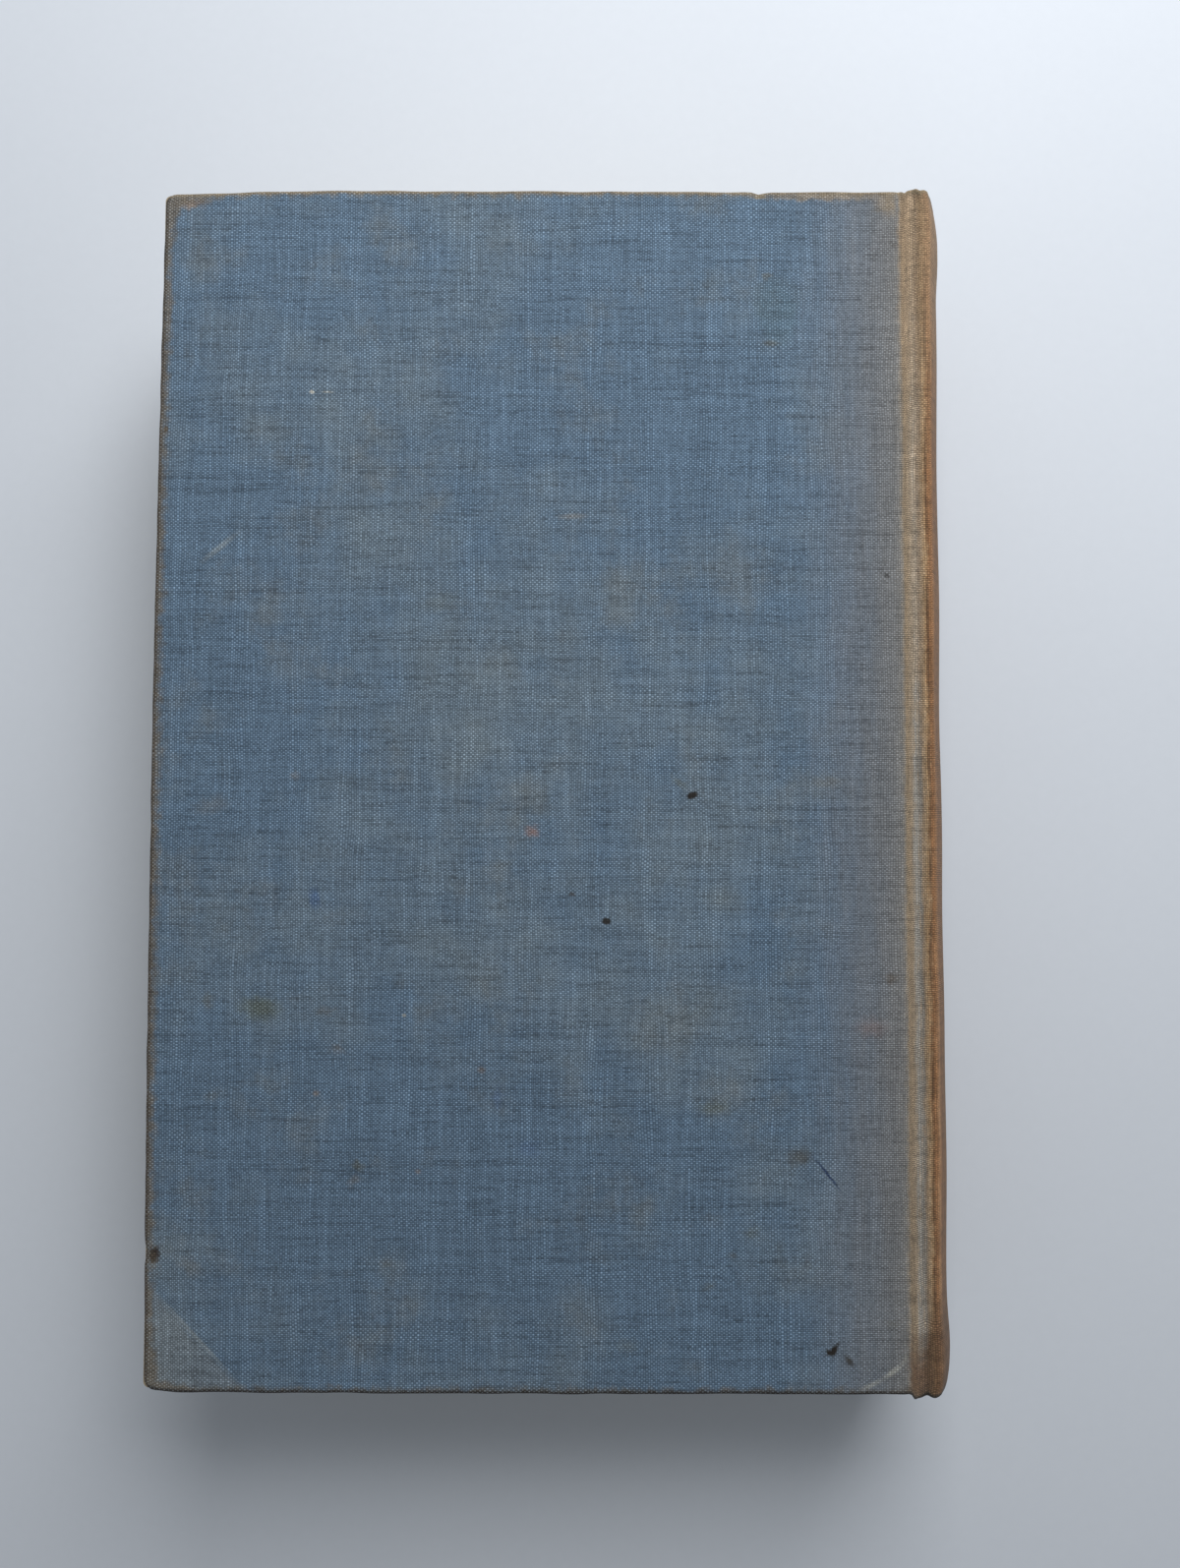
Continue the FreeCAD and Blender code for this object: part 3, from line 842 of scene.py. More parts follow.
@dataclass(frozen=True)
class BookCloth:
    """Plain-woven blue bookbinder's cloth, faded, handled and worn at its edges.

    Sizes are in millimetres. A number added to the seed picks another pattern.
    """

    marks: tuple[Mark, ...]
    seed: float
    path: "CasePath"
    mask: MarkMask
    folded: bool
    dyed: Tone = (80, 101, 121)
    paled: Tone = (104, 115, 121)
    # Pale tone of the painted highlight on the thread crowns
    crown: Tone = (170, 186, 196)
    soiled: Tone = (102, 104, 100)
    fresh: Tone = (58, 84, 124)
    rubbed: Tone = (104, 93, 76)
    head_edge: Tone = (124, 110, 88)
    tail_edge: Tone = (40, 35, 30)
    fore_edge: Tone = (72, 62, 50)
    tail_cap: Tone = (97, 72, 51)
    head_cap: Tone = (141, 119, 93)
    groove_grey: Tone = (134, 134, 131)
    crease_brown: Tone = (78, 56, 38)
    # Tan of the painted highlight along the ridge
    ridge_highlight_tan: Tone = (166, 128, 92)
    corner_grey: Tone = (120, 121, 116)
    warp_pitch: float = 0.43
    weft_pitch: float = 0.33
    weave_depth: float = 0.06
    # Painted shade in the gaps of the weave and painted highlight on its crowns
    gap_share: float = 0.85
    gap_shade: float = 0.36
    crown_share: float = 0.9
    crown_highlight_gain: float = 1.68
    thread_swing: float = 0.5
    fleck_swing: float = 0.36
    dark_thread: float = -0.28
    light_thread: float = 0.11
    weft_band_swing: float = 0.40
    warp_band_swing: float = 0.17
    sheen: float = 0.06
    sheen_rough: float = 0.6
    specular: float = 0.22

    def joint_bands(self) -> list[tuple[float, Tone]]:
        """List the sunned colours from the spine's centre line to the cover's face, with a painted highlight
        on the spine side of the ridge and painted light on the slope from the ridge to the groove.

        Returns:
            The run from the centre line and the colour of each band.
        """
        path = self.path
        return [
            (0.0, (116, 88, 62)),
            (path.ridge - 8.0, (118, 87, 58)),
            (path.ridge - 3.0, (120, 86, 57)),
            # Lightened as a painted highlight: the streak on the spine side of the ridge
            (path.ridge - 1.2, (132, 94, 61)),
            (path.ridge - 0.2, (126, 90, 60)),
            # The next four stops are lightened as painted light, standing in for the light that the slope
            # between ridge and groove, facing away from the lamp, does not get
            (path.ridge + 0.5, (152, 124, 92)),
            (path.ridge + 1.2, (166, 143, 116)),
            (path.groove - 0.9, (160, 143, 124)),
            (path.groove - 0.3, (148, 136, 120)),
            (path.groove + 0.3, (141, 127, 109)),
            (path.edge - 1.3, (138, 121, 99)),
            (path.edge - 0.5, (134, 118, 97)),
            (path.edge, (127, 119, 108)),
            (path.edge + 0.7, (112, 110, 107)),
            (path.edge + 1.9, (108, 108, 108)),
            (path.edge + 6.0, (102, 106, 111)),
            (path.edge + 15.0, (99, 108, 119)),
            (path.edge + 26.0, (88, 106, 122)),
        ]

    def ground(self, places: ClothPlaces, mottle: Socket) -> Socket:
        """Colour the face, paler where it was handled, and soiled in patches.

        Args:
            places: The places on the cloth.
            mottle: The fine unevenness of its tone.

        Returns:
            The colour.
        """
        recipe, cut = places.recipe, places.cut
        wide = recipe.grain(cut, 46.0, None, 3.0, 0.5, seed=self.seed + 6)
        dirt = recipe.grain(cut, 20.0, None, 5.0, 0.65, seed=self.seed + 8)
        off_x = recipe.product(recipe.total(places.face_x, -4.0), 0.016)
        off_y = recipe.product(places.along, 0.012)
        away = recipe.sum("SQRT", recipe.total(recipe.product(off_x, off_x), recipe.product(off_y, off_y)))
        handled = recipe.step(away, 0.25, 1.1, 0.27, 0.06)
        paling = recipe.total(recipe.swing(wide, 1.4), recipe.swing(mottle, 1.0), handled)
        paling = recipe.sum("MAXIMUM", recipe.sum("MINIMUM", paling, 1.0), 0.0)
        colour = recipe.tint(paling, self.dyed, self.paled)
        return recipe.tint(recipe.step(dirt, 0.52, 0.78, 0.0, 0.42), colour, self.soiled)

    def streaks(self, places: ClothPlaces) -> Socket:
        """Give the streaks and clumps of worn colour that run along the book.

        Args:
            places: The places on the cloth.

        Returns:
            A swing about 0.
        """
        recipe, cut = places.recipe, places.cut
        streak = recipe.grain(cut, 0.36, 11.0, 3.0, 0.7, seed=self.seed + 11)
        clumps = recipe.grain(cut, 1.1, 2.2, 3.0, 0.7, seed=self.seed + 12)
        return recipe.total(recipe.swing(streak, 0.75), recipe.swing(clumps, 0.8))

    def sunned(self, places: ClothPlaces, colour: Socket, uneven: Socket) -> Socket:
        """Fade the spine, the joint and the face beside them.

        Args:
            places: The places on the cloth.
            colour: The colour so far.
            uneven: The streaks along the book.

        Returns:
            The new colour.
        """
        recipe, cut, path = places.recipe, places.cut, self.path
        wobble = recipe.swing(recipe.grain(cut, 3.0, 16.0, 3.0, 0.6, seed=self.seed + 9), 1.1)
        fray = recipe.swing(recipe.grain(cut, 0.6, 1.4, 4.0, 0.75, seed=self.seed + 10), 1.9)
        reach = recipe.product(recipe.step(places.run, path.edge, path.edge + 16.0, 1.0, 9.0), wobble)
        band_run = recipe.total(places.run, reach, fray)
        bands = recipe.bands(band_run, (0.0, path.edge + 30.0), self.joint_bands())
        how_uneven = recipe.total(recipe.product(places.in_joint, 0.8), 0.2)
        bands = recipe.shade(bands, recipe.total(recipe.product(uneven, how_uneven), 1.0))
        bands = self.creased(places, bands)
        fading = recipe.total(places.run, recipe.product(wobble, 7.0))
        return recipe.tint(recipe.step(fading, path.edge + 3.0, path.edge + 25.0, 1.0, 0.0), colour, bands)

    def creased(self, places: ClothPlaces, bands: Socket) -> Socket:
        """Draw the groove that stayed grey, the brown crease, and a painted tan highlight along the ridge
        beside it.

        Args:
            places: The places on the cloth.
            bands: The sunned colours.

        Returns:
            The new colours.
        """
        recipe, cut, path = places.recipe, places.cut, self.path
        wander = recipe.swing(recipe.grain(cut, 60.0, 9.0, 4.0, 0.6, seed=self.seed + 15), 1.5)
        wandering = recipe.total(places.run, wander)
        in_groove = recipe.product(
            recipe.step(wandering, path.groove - 1.5, path.groove - 0.8),
            recipe.step(wandering, path.groove + 0.3, path.groove + 1.1, 1.0, 0.0))
        kept = recipe.grain(cut, 0.5, 5.0, 4.0, 0.75, seed=self.seed + 16)
        more_at_tail = recipe.step(places.along, 0.0, 30.0, 0.13, -0.12)
        kept = recipe.step(recipe.total(kept, more_at_tail), 0.44, 0.66, 0.0, 0.7)
        bands = recipe.tint(recipe.product(in_groove, kept), bands, self.groove_grey)
        off_crease = recipe.sum(
            "ABSOLUTE", recipe.total(places.run, recipe.product(wander, 0.3), -path.ridge - 0.15))
        broken = recipe.grain(cut, 60.0, 14.0, 3.0, 0.6, seed=self.seed + 17)
        crease = recipe.product(
            recipe.step(off_crease, 0.1, 0.42, 1.0, 0.0),
            recipe.step(broken, 0.34, 0.6, 0.12, 0.75))
        bands = recipe.tint(crease, bands, self.crease_brown)
        # Painted highlight: a tan streak along the ridge, stronger towards the tail
        ridge = recipe.product(
            recipe.step(wandering, path.ridge - 3.0, path.ridge - 1.8),
            recipe.step(wandering, path.ridge - 1.0, path.ridge - 0.4, 1.0, 0.0),
            recipe.step(recipe.grain(cut, 1.2, 7.0, 3.0, 0.7, seed=self.seed + 18), 0.36, 0.6, 0.25, 1.0),
            recipe.step(places.along, -60.0, -10.0, 0.75, 0.2))
        return recipe.tint(ridge, bands, self.ridge_highlight_tan)

    def faded_corner(self, places: ClothPlaces, colour: Socket) -> Socket:
        """Fade the cloth outside the fold of the turned-in corner.

        Args:
            places: The places on the cloth.
            colour: The colour so far.

        Returns:
            The new colour.
        """
        recipe = places.recipe
        away = recipe.total(recipe.product(places.face_x, FOLD_X), recipe.product(places.along, FOLD_Y),
                            recipe.swing(recipe.grain(places.cut, 5.0, None, 2.0, seed=12.0), 1.6))
        share = recipe.step(away, FOLD_AWAY - 0.6, FOLD_AWAY + 1.2, 0.0, 0.42)
        return recipe.tint(recipe.product(share, places.on_board), colour, self.corner_grey)

    def marked(self, places: ClothPlaces, colour: Socket) -> tuple[Socket, Value]:
        """Lay the marks on the face, with ragged outlines.

        Args:
            places: The places on the cloth.
            colour: The colour so far.

        Returns:
            The new colour, and how much of a dark mark shows.
        """
        recipe, cut = places.recipe, places.cut
        ragged_x = recipe.swing(recipe.grain(cut, 1.6, None, 3.0, 0.6, seed=3.0), 2.2)
        ragged_y = recipe.swing(recipe.grain(cut, 1.6, None, 3.0, 0.6, seed=8.0), 2.2)
        loose = recipe.vector(recipe.total(places.face_x, ragged_x), recipe.total(places.along, ragged_y))
        rough_x = recipe.swing(recipe.grain(cut, 0.7, None, 2.0, 0.6, seed=4.0), 0.4)
        rough_y = recipe.swing(recipe.grain(cut, 0.7, None, 2.0, 0.6, seed=9.0), 0.4)
        crisp = recipe.vector(recipe.total(places.face_x, rough_x), recipe.total(places.along, rough_y))
        stained: Value = 0.0
        for mark in self.marks:
            place = crisp if min(mark.long, mark.short) < CRISP_WIDTH else loose
            amount = recipe.product(self.mask.amount(recipe, place, mark), mark.strength, places.on_board)
            colour = recipe.tint(amount, colour, mark.tone)
            if sum(mark.tone) < DARK_TONE:
                stained = recipe.sum("MAXIMUM", stained, amount)
        return colour, stained

    def capped(self, places: ClothPlaces, colour: Socket, uneven: Socket) -> Socket:
        """Wear the caps at the spine's two ends, brown at the tail and tan at the head.

        Args:
            places: The places on the cloth.
            colour: The colour so far.
            uneven: The streaks along the book.

        Returns:
            The new colour.
        """
        recipe, cut, path = places.recipe, places.cut, self.path
        cover_end = path.book.cover_end
        ragged = recipe.swing(recipe.grain(cut, 2.6, None, 4.0, 0.65, seed=self.seed + 14), 10.0)
        on_cap = recipe.step(recipe.total(places.run, recipe.product(ragged, 0.3)),
                             path.edge - 0.8, path.edge + 1.0, 1.0, 0.0)
        by_ridge = recipe.step(places.run, path.ridge + 0.4, path.ridge + 2.4, 7.0, 0.0)
        tail_reach = recipe.total(recipe.product(places.along, -1.0), ragged, by_ridge)
        near_tail = recipe.step(tail_reach, cover_end - 14.0, cover_end - 4.0)
        head_reach = recipe.total(places.along, recipe.product(ragged, 2.0))
        near_head = recipe.step(head_reach, 55.0, cover_end - 6.0)
        tan = recipe.shade(recipe.plain(self.head_cap), recipe.total(uneven, 1.0))
        colour = recipe.tint(recipe.product(near_head, on_cap, 0.6), colour, tan)
        patches = recipe.swing(recipe.grain(cut, 1.8, None, 3.0, 0.65, seed=self.seed + 19), 0.9)
        brown = recipe.shade(recipe.plain(self.tail_cap), recipe.total(uneven, patches, 1.0))
        return recipe.tint(recipe.product(near_tail, on_cap, 0.85), colour, brown)

    def edged(self, places: ClothPlaces, colour: Socket) -> Socket:
        """Rub and soil the edges, and leave the turn-ins, which light never reached, blue.

        Args:
            places: The places on the cloth.
            colour: The colour so far.

        Returns:
            The new colour.
        """
        recipe, path = places.recipe, self.path
        ragged = recipe.swing(recipe.grain(places.cut, 2.4, None, 3.0, 0.7, seed=self.seed + 13), 3.2)
        past_fore = recipe.sum("SUBTRACT", path.corner_x - path.book.corner, places.face_x)
        past_end = recipe.sum("SUBTRACT", recipe.sum("ABSOLUTE", places.along), path.book.cover_end)
        past = recipe.sum("MAXIMUM", past_fore, past_end)
        near_corner = recipe.step(recipe.total(past_fore, past_end), -14.0, -2.0, 0.0, 1.4)
        worn = recipe.sum("MAXIMUM", recipe.total(past_fore, -0.1), recipe.total(past_end, -0.75))
        worn = recipe.total(worn, ragged, near_corner)
        end_tone = recipe.tint(recipe.step(places.along, -5.0, 5.0), self.tail_edge, self.head_edge)
        at_fore = recipe.step(recipe.sum("SUBTRACT", past_fore, past_end), -0.3, 0.3)
        edge_tone = recipe.tint(at_fore, end_tone, self.fore_edge)
        rubbed = recipe.tint(0.25, self.rubbed, edge_tone)
        colour = recipe.tint(recipe.step(worn, -2.6, -0.6, 0.0, 0.8), colour, rubbed)
        soiled = recipe.step(recipe.total(past, recipe.product(ragged, 0.22)), -1.0, -0.35, 0.0, 0.9)
        colour = recipe.tint(soiled, colour, edge_tone)
        return recipe.tint(recipe.step(past, 3.0, 3.9), colour, self.fresh)

    def woven(self, places: ClothPlaces, threads: Threads, colour: Socket, stained: Value) -> Socket:
        """Lighten and darken the colour thread by thread, with a painted highlight on the crowns where
        threads cross over and painted shade in the gaps between them.

        Args:
            places: The places on the cloth.
            threads: The threads.
            colour: The colour so far.
            stained: How much of a dark mark shows.

        Returns:
            The new colour.
        """
        recipe = places.recipe
        weft_tone = recipe.product(recipe.swing(threads.weft_thread, self.thread_swing),
                                   recipe.sum("SUBTRACT", 1.3, threads.on_top))
        warp_tone = recipe.product(recipe.swing(threads.warp_thread, self.thread_swing),
                                   recipe.total(threads.on_top, 0.3))
        dark_weft = recipe.step(threads.weft_thread, 0.55, 0.66, 0.0, self.dark_thread)
        light_warp = recipe.product(
            recipe.step(threads.warp_thread, 0.55, 0.68, 0.0, self.light_thread),
            recipe.total(threads.on_top, 0.35),
            recipe.without(recipe.product(places.ribbed, 0.75)))
        rib_swing = recipe.total(recipe.product(places.in_joint, 0.3), 0.42)
        ribs = recipe.product(places.ribbed, recipe.swing(recipe.sum("ABSOLUTE", threads.weft), rib_swing))
        tone = recipe.total(
            weft_tone, warp_tone, dark_weft, light_warp, ribs,
            recipe.swing(threads.weft_band, self.weft_band_swing),
            recipe.swing(threads.warp_band, self.warp_band_swing),
            recipe.swing(threads.fleck, self.fleck_swing), 1.0)
        # Painted shade darkens the gaps between threads, and a painted highlight lightens their crowns
        gaps = recipe.product(recipe.without(threads.closed), self.gap_share)
        shaded = recipe.tint(gaps, colour, recipe.shade(colour, self.gap_shade))
        highlight_paleness = recipe.product(recipe.without(recipe.product(places.in_joint, 0.85)),
                                  recipe.without(stained), 0.24)
        crown_highlight = recipe.tint(highlight_paleness, recipe.shade(colour, self.crown_highlight_gain), self.crown)
        showing = recipe.product(threads.crown, self.crown_share,
                                 recipe.without(recipe.product(places.ribbed, 0.5)))
        return recipe.shade(recipe.tint(showing, shaded, crown_highlight), tone)

    def make(self, name: str) -> bpy.types.Material:
        """Make the material.

        Args:
            name: Its name.

        Returns:
            The material.
        """
        recipe = Recipe(name)
        places = ClothPlaces(recipe, self.path)
        threads = Threads(places, self)
        mottle = recipe.grain(places.cut, 11.0, None, 4.0, 0.6, seed=self.seed + 7)
        uneven = self.streaks(places)
        colour = self.sunned(places, self.ground(places, mottle), uneven)
        if self.folded:
            colour = self.faded_corner(places, colour)
        colour, stained = self.marked(places, colour)
        colour = self.edged(places, self.capped(places, colour, uneven))
        colour = self.woven(places, threads, colour, stained)
        height = recipe.total(
            recipe.product(threads.closed, 0.6), recipe.product(threads.crown, 0.4),
            recipe.product(threads.weft_thread, 0.4), recipe.product(threads.warp_thread, 0.3))
        rough = recipe.total(recipe.swing(mottle, 0.18), 0.86)
        recipe.surface.inputs["Sheen Weight"].default_value = self.sheen
        recipe.surface.inputs["Sheen Roughness"].default_value = self.sheen_rough
        return recipe.finish(colour, rough, recipe.relief(height, self.weave_depth), self.specular)


@dataclass(frozen=True)
class LeafEdges:
    """The edges of the leaves, toned brown, with sections and single leaves showing as lines."""

    paper: Tone = (206, 192, 160)
    browned: Tone = (184, 165, 130)
    shadow: Tone = (112, 94, 68)
    dust: Tone = (132, 122, 104)
    section: float = 1.44

    def make(self) -> bpy.types.Material:
        """Make the material.

        Returns:
            The material.
        """
        recipe = Recipe("leaf_edges")
        leaf, _, _ = recipe.parts(recipe.cut_place())
        solid = recipe.solid_place()
        x, y, _ = recipe.parts(solid)
        line_place = recipe.vector(leaf, recipe.product(x, 0.004), recipe.product(y, 0.004))
        leaves = recipe.grain(line_place, 0.11, 1.0, 2.0, 0.7, seed=1.0, flat=False)
        packs = recipe.grain(line_place, 0.5, 1.0, 2.0, 0.6, seed=2.0, flat=False)
        split = recipe.sum("ABSOLUTE", recipe.sum("SINE", recipe.product(leaf, math.pi / self.section)))
        stain = recipe.grain(solid, 13.0, None, 4.0, 0.6, seed=3.0, flat=False)
        spots = recipe.grain(solid, 2.2, None, 2.0, 0.6, seed=4.0, flat=False)
        colour = recipe.tint(recipe.step(stain, 0.3, 0.72), self.paper, self.browned)
        colour = recipe.tint(recipe.step(spots, 0.66, 0.76, 0.0, 0.6), colour, (140, 104, 66))
        colour = recipe.tint(recipe.step(y, 60.0, 108.6, 0.0, 0.35), colour, self.dust)
        colour = recipe.tint(recipe.step(leaves, 0.30, 0.50, 0.62, 0.0), colour, self.shadow)
        colour = recipe.tint(recipe.step(split, 0.0, 0.16, 0.5, 0.0), colour, self.shadow)
        colour = recipe.shade(colour, recipe.total(recipe.swing(packs, 0.35), 1.0))
        normal = recipe.relief(recipe.total(leaves, recipe.product(packs, 0.8)), 0.12)
        return recipe.finish(colour, 0.88, normal, 0.25)


@dataclass(frozen=True)
class BookPaper:
    """Plain paper, browned towards its edges, with a few rust spots."""

    name: str
    middle: Tone
    edge: Tone
    spot: Tone
    half_width: float
    half_height: float
    centre_x: float
    seed: float

    def make(self) -> bpy.types.Material:
        """Make the material.

        Returns:
            The material.
        """
        recipe = Recipe(self.name)
        cut = recipe.cut_place()
        x, y, _ = recipe.parts(cut)
        blotch = recipe.swing(recipe.grain(cut, 16.0, None, 4.0, 0.6, seed=self.seed), 0.55)
        off_x = recipe.sum("ABSOLUTE", recipe.total(x, -self.centre_x))
        near_x = recipe.sum("DIVIDE", off_x, self.half_width)
        near_y = recipe.sum("DIVIDE", recipe.sum("ABSOLUTE", y), self.half_height)
        near = recipe.sum("MAXIMUM", near_x, near_y)
        colour = recipe.tint(recipe.step(recipe.total(near, blotch), 0.70, 1.05), self.middle, self.edge)
        fibre = recipe.grain(cut, 1.2, 0.35, 3.0, 0.6, seed=self.seed + 1)
        cloud = recipe.grain(cut, 5.0, None, 3.0, 0.6, seed=self.seed + 2)
        spots = recipe.grain(cut, 3.4, None, 2.0, 0.6, seed=self.seed + 3)
        colour = recipe.tint(recipe.step(spots, 0.69, 0.76, 0.0, 0.55), colour, self.spot)
        unevenness = recipe.total(recipe.swing(fibre, 0.10), recipe.swing(cloud, 0.10), 1.0)
        colour = recipe.shade(colour, unevenness)
        normal = recipe.relief(recipe.total(fibre, cloud), 0.03)
        return recipe.finish(colour, 0.82, normal, 0.3)


@dataclass(frozen=True)
class PressedStock:
    """Board, card or paper that shows only at its edges: pressed fibres with dark and pale flecks."""

    name: str
    base: Tone
    fleck: Tone
    pale: Tone
    layer: float
    rough: float = 0.9

    def make(self) -> bpy.types.Material:
        """Make the material.

        Returns:
            The material.
        """
        recipe = Recipe(self.name)
        solid = recipe.solid_place()
        x, y, z = recipe.parts(solid)
        fibres = recipe.grain(solid, 0.9, 0.9, 4.0, 0.7, seed=1.0, flat=False)
        layer_place = recipe.vector(recipe.product(z, 1.0 / self.layer), recipe.product(x, 0.05),
                                    recipe.product(y, 0.05))
        layers = recipe.grain(layer_place, 1.0, 1.0, 2.0, 0.6, seed=2.0, flat=False)
        specks = recipe.grain(solid, 0.6, None, 1.0, 0.5, seed=3.0, flat=False)
        colour = recipe.tint(recipe.step(fibres, 0.35, 0.7), self.base, self.pale)
        colour = recipe.tint(recipe.step(specks, 0.66, 0.74, 0.0, 0.7), colour, self.fleck)
        colour = recipe.shade(colour, recipe.total(recipe.swing(layers, 0.3), 1.0))
        normal = recipe.relief(fibres, 0.08)
        return recipe.finish(colour, self.rough, normal, 0.25)


@dataclass(frozen=True)
class OpenCotton:
    """Stiffened open cotton, an even mesh of thin threads yellowed by glue."""

    thread: Tone = (206, 192, 160)
    glue: Tone = (150, 122, 82)
    pitch: float = 0.9

    def make(self) -> bpy.types.Material:
        """Make the material.

        Returns:
            The material.
        """
        recipe = Recipe("open_cotton")
        cut = recipe.cut_place()
        u, v, _ = recipe.parts(cut)
        first = recipe.sum("ABSOLUTE", recipe.sum("SINE", recipe.product(u, math.pi / self.pitch)))
        second = recipe.sum("ABSOLUTE", recipe.sum("SINE", recipe.product(v, math.pi / self.pitch)))
        threads = recipe.sum("MAXIMUM", recipe.step(first, 0.72, 0.92), recipe.step(second, 0.72, 0.92))
        uneven = recipe.grain(cut, 6.0, None, 3.0, 0.6, seed=5.0)
        colour = recipe.tint(threads, self.glue, self.thread)
        colour = recipe.shade(colour, recipe.total(recipe.swing(uneven, 0.5), 1.0))
        return recipe.finish(colour, 0.8, recipe.relief(threads, 0.08), 0.3)


@dataclass(frozen=True)
class StudioFloor:
    """A plain pale matt floor with a faint unevenness of tone."""

    tone: Tone = (196, 201, 208)

    def make(self) -> bpy.types.Material:
        """Make the material.

        Returns:
            The material.
        """
        recipe = Recipe("studio_floor")
        solid = recipe.solid_place()
        cloud = recipe.grain(solid, 90.0, None, 3.0, 0.5, seed=1.0, flat=False)
        tooth = recipe.grain(solid, 2.0, None, 2.0, 0.5, seed=2.0, flat=False)
        colour = recipe.shade(recipe.plain(self.tone),
                              recipe.total(recipe.swing(cloud, 0.05), recipe.swing(tooth, 0.03), 1.0))
        return recipe.finish(colour, 0.9, None, 0.2)


# The case: cloth over the spine, joints and boards

@dataclass
class CasePath:
    """The cloth's outer line across the book, from the spine's centre line to the fore-edge.

    The points of the joint are distances past the board's edge and drops below the cover's face.
    """

    book: Book
    joint: tuple[tuple[float, float], ...] = (
        (5.95, 1.31), (5.45, 0.93), (4.85, 0.74), (4.3, 0.86), (3.85, 1.3), (3.4, 1.9), (2.95, 2.32),
        (2.45, 2.4), (1.85, 2.12), (1.1, 1.45), (0.5, 0.86), (0.05, 0.42), (-0.45, 0.14), (-1.1, 0.02),
        (-2.0, 0.0))
    spine_pitch: float = 1.35
    joint_pitch: float = 0.28
    face_pitch: float = 1.3
    spine_fold: float = 1.3
    joint_fold: float = 0.85
    ridge_at: float = 4.85
    groove_at: float = 2.6
    edge_at: float = 0.05
    outer: np.ndarray = field(init=False)
    inner: np.ndarray = field(init=False)
    run: np.ndarray = field(init=False)
    corner_x: float = field(init=False)
    flat_start: float = field(init=False)
    ridge: float = field(init=False)
    groove: float = field(init=False)
    edge: float = field(init=False)

    def __post_init__(self) -> None:
        """Work out the line, its runs and the places along it."""
        book = self.book
        joint = np.array([(book.joint_edge + dx, book.cloth_face - drop) for dx, drop in self.joint])
        depth = book.apex - joint[0, 0]
        radius = (depth ** 2 + joint[0, 1] ** 2) / (2 * depth)
        centre = book.apex - radius
        end_turn = math.asin(joint[0, 1] / radius)
        turns = np.linspace(0.0, end_turn, 200)
        arc = np.stack([centre + radius * np.cos(turns), radius * np.sin(turns)], axis=1)
        arc_joint = smooth_line(joint, 12)
        self.corner_x = book.fore_edge + book.corner
        face_x = np.linspace(joint[-1, 0], self.corner_x, 400)[1:]
        face = np.stack([face_x, np.full_like(face_x, book.cloth_face)], axis=1)
        line = np.vstack([arc, arc_joint[1:], face])
        runs = run_length(line)
        arc_run = radius * end_turn
        joint_run = runs[len(arc) + len(arc_joint) - 2]
        marks = np.concatenate([
            np.linspace(0.0, arc_run, round(arc_run / self.spine_pitch), endpoint=False),
            np.linspace(arc_run, joint_run, round((joint_run - arc_run) / self.joint_pitch), endpoint=False),
            np.linspace(joint_run, runs[-1], round((runs[-1] - joint_run) / self.face_pitch) + 1)])
        self.run = marks
        self.outer = np.stack([np.interp(marks, runs, line[:, axis]) for axis in (0, 1)], axis=1)
        self.flat_start = self.outer[-1, 0] + marks[-1]
        self.ridge, self.groove, self.edge = (
            float(np.interp(-(book.joint_edge + off), -line[:, 0], runs))
            for off in (self.ridge_at, self.groove_at, self.edge_at))
        self.inner = self._inside()

    def _inside(self) -> np.ndarray:
        """Work out where the cloth lies once it is turned in at the ends.

        Returns:
            A point for each column, as distance to the spine and distance across.
        """
        book = self.book
        slope = np.gradient(self.outer, self.run, axis=0)
        inward = np.stack([-slope[:, 1], slope[:, 0]], axis=1)
        x = self.outer[:, 0]
        fold = np.where(self.run < self.ridge - 1.5, self.spine_fold, self.joint_fold)
        inner = self.outer + inward * fold[:, None]
        hanging = x < book.joint_edge + 3.0
        inner[hanging] = self.outer[hanging] - [0.0, self.joint_fold + 0.1]
        on_board = x < book.joint_edge - 0.2
        for _ in range(6):
            mid = inner.copy()
            mid[1:-1] = (inner[:-2] + 2 * inner[1:-1] + inner[2:]) / 4
            inner[~on_board] = mid[~on_board]
        inner[on_board] = np.stack([x, np.full_like(x, book.turn_in_face)], axis=1)[on_board]
        return inner


@dataclass
class EdgeFold:
    """How the cloth goes round an edge and is turned in: steps out from the corner circle's centre."""

    corner: float
    turn_in: float
    bend: float = 0.55
    turns: tuple[float, ...] = (22.5, 45.0, 67.5, 90.0)

    def steps(self, depth: np.ndarray) -> tuple[np.ndarray, np.ndarray, np.ndarray]:
        """Walk round the edge.

        Args:
            depth: The distance between the outer face and the turned-in face, for each column.

        Returns:
            How far out each step is, how deep it is, and the cloth's run up to it, steps by columns.
        """
        depth = np.asarray(depth, float)
        bend = np.minimum(self.bend, 0.48 * depth)
        flat = self.corner - bend
        wall = depth - 2 * bend
        quarter = bend * math.pi / 2
        out, down, run = [], [], []
        for share in (1 / 3, 2 / 3, 1.0):
            out.append(flat * share)
            down.append(np.zeros_like(depth))
            run.append(flat * share)
        for turn in np.radians(self.turns):
            out.append(flat + bend * math.sin(turn))
            down.append(bend * (1 - math.cos(turn)))
            run.append(flat + bend * turn)
        for share in (0.25, 0.5, 0.75, 1.0):
            out.append(np.full_like(depth, self.corner))
            down.append(bend + wall * share)
            run.append(flat + quarter + wall * share)
        for turn in np.radians(self.turns):
            out.append(flat + bend * math.cos(turn))
            down.append(bend + wall + bend * math.sin(turn))
            run.append(flat + quarter + wall + bend * turn)
        for inward in (0.8, 2.0, 4.0, 7.5, 11.0, self.turn_in - self.bend):
            out.append(flat - inward)
            down.append(depth.copy())
            run.append(flat + 2 * quarter + wall + inward)
        return np.array(out), np.array(down), np.array(run)


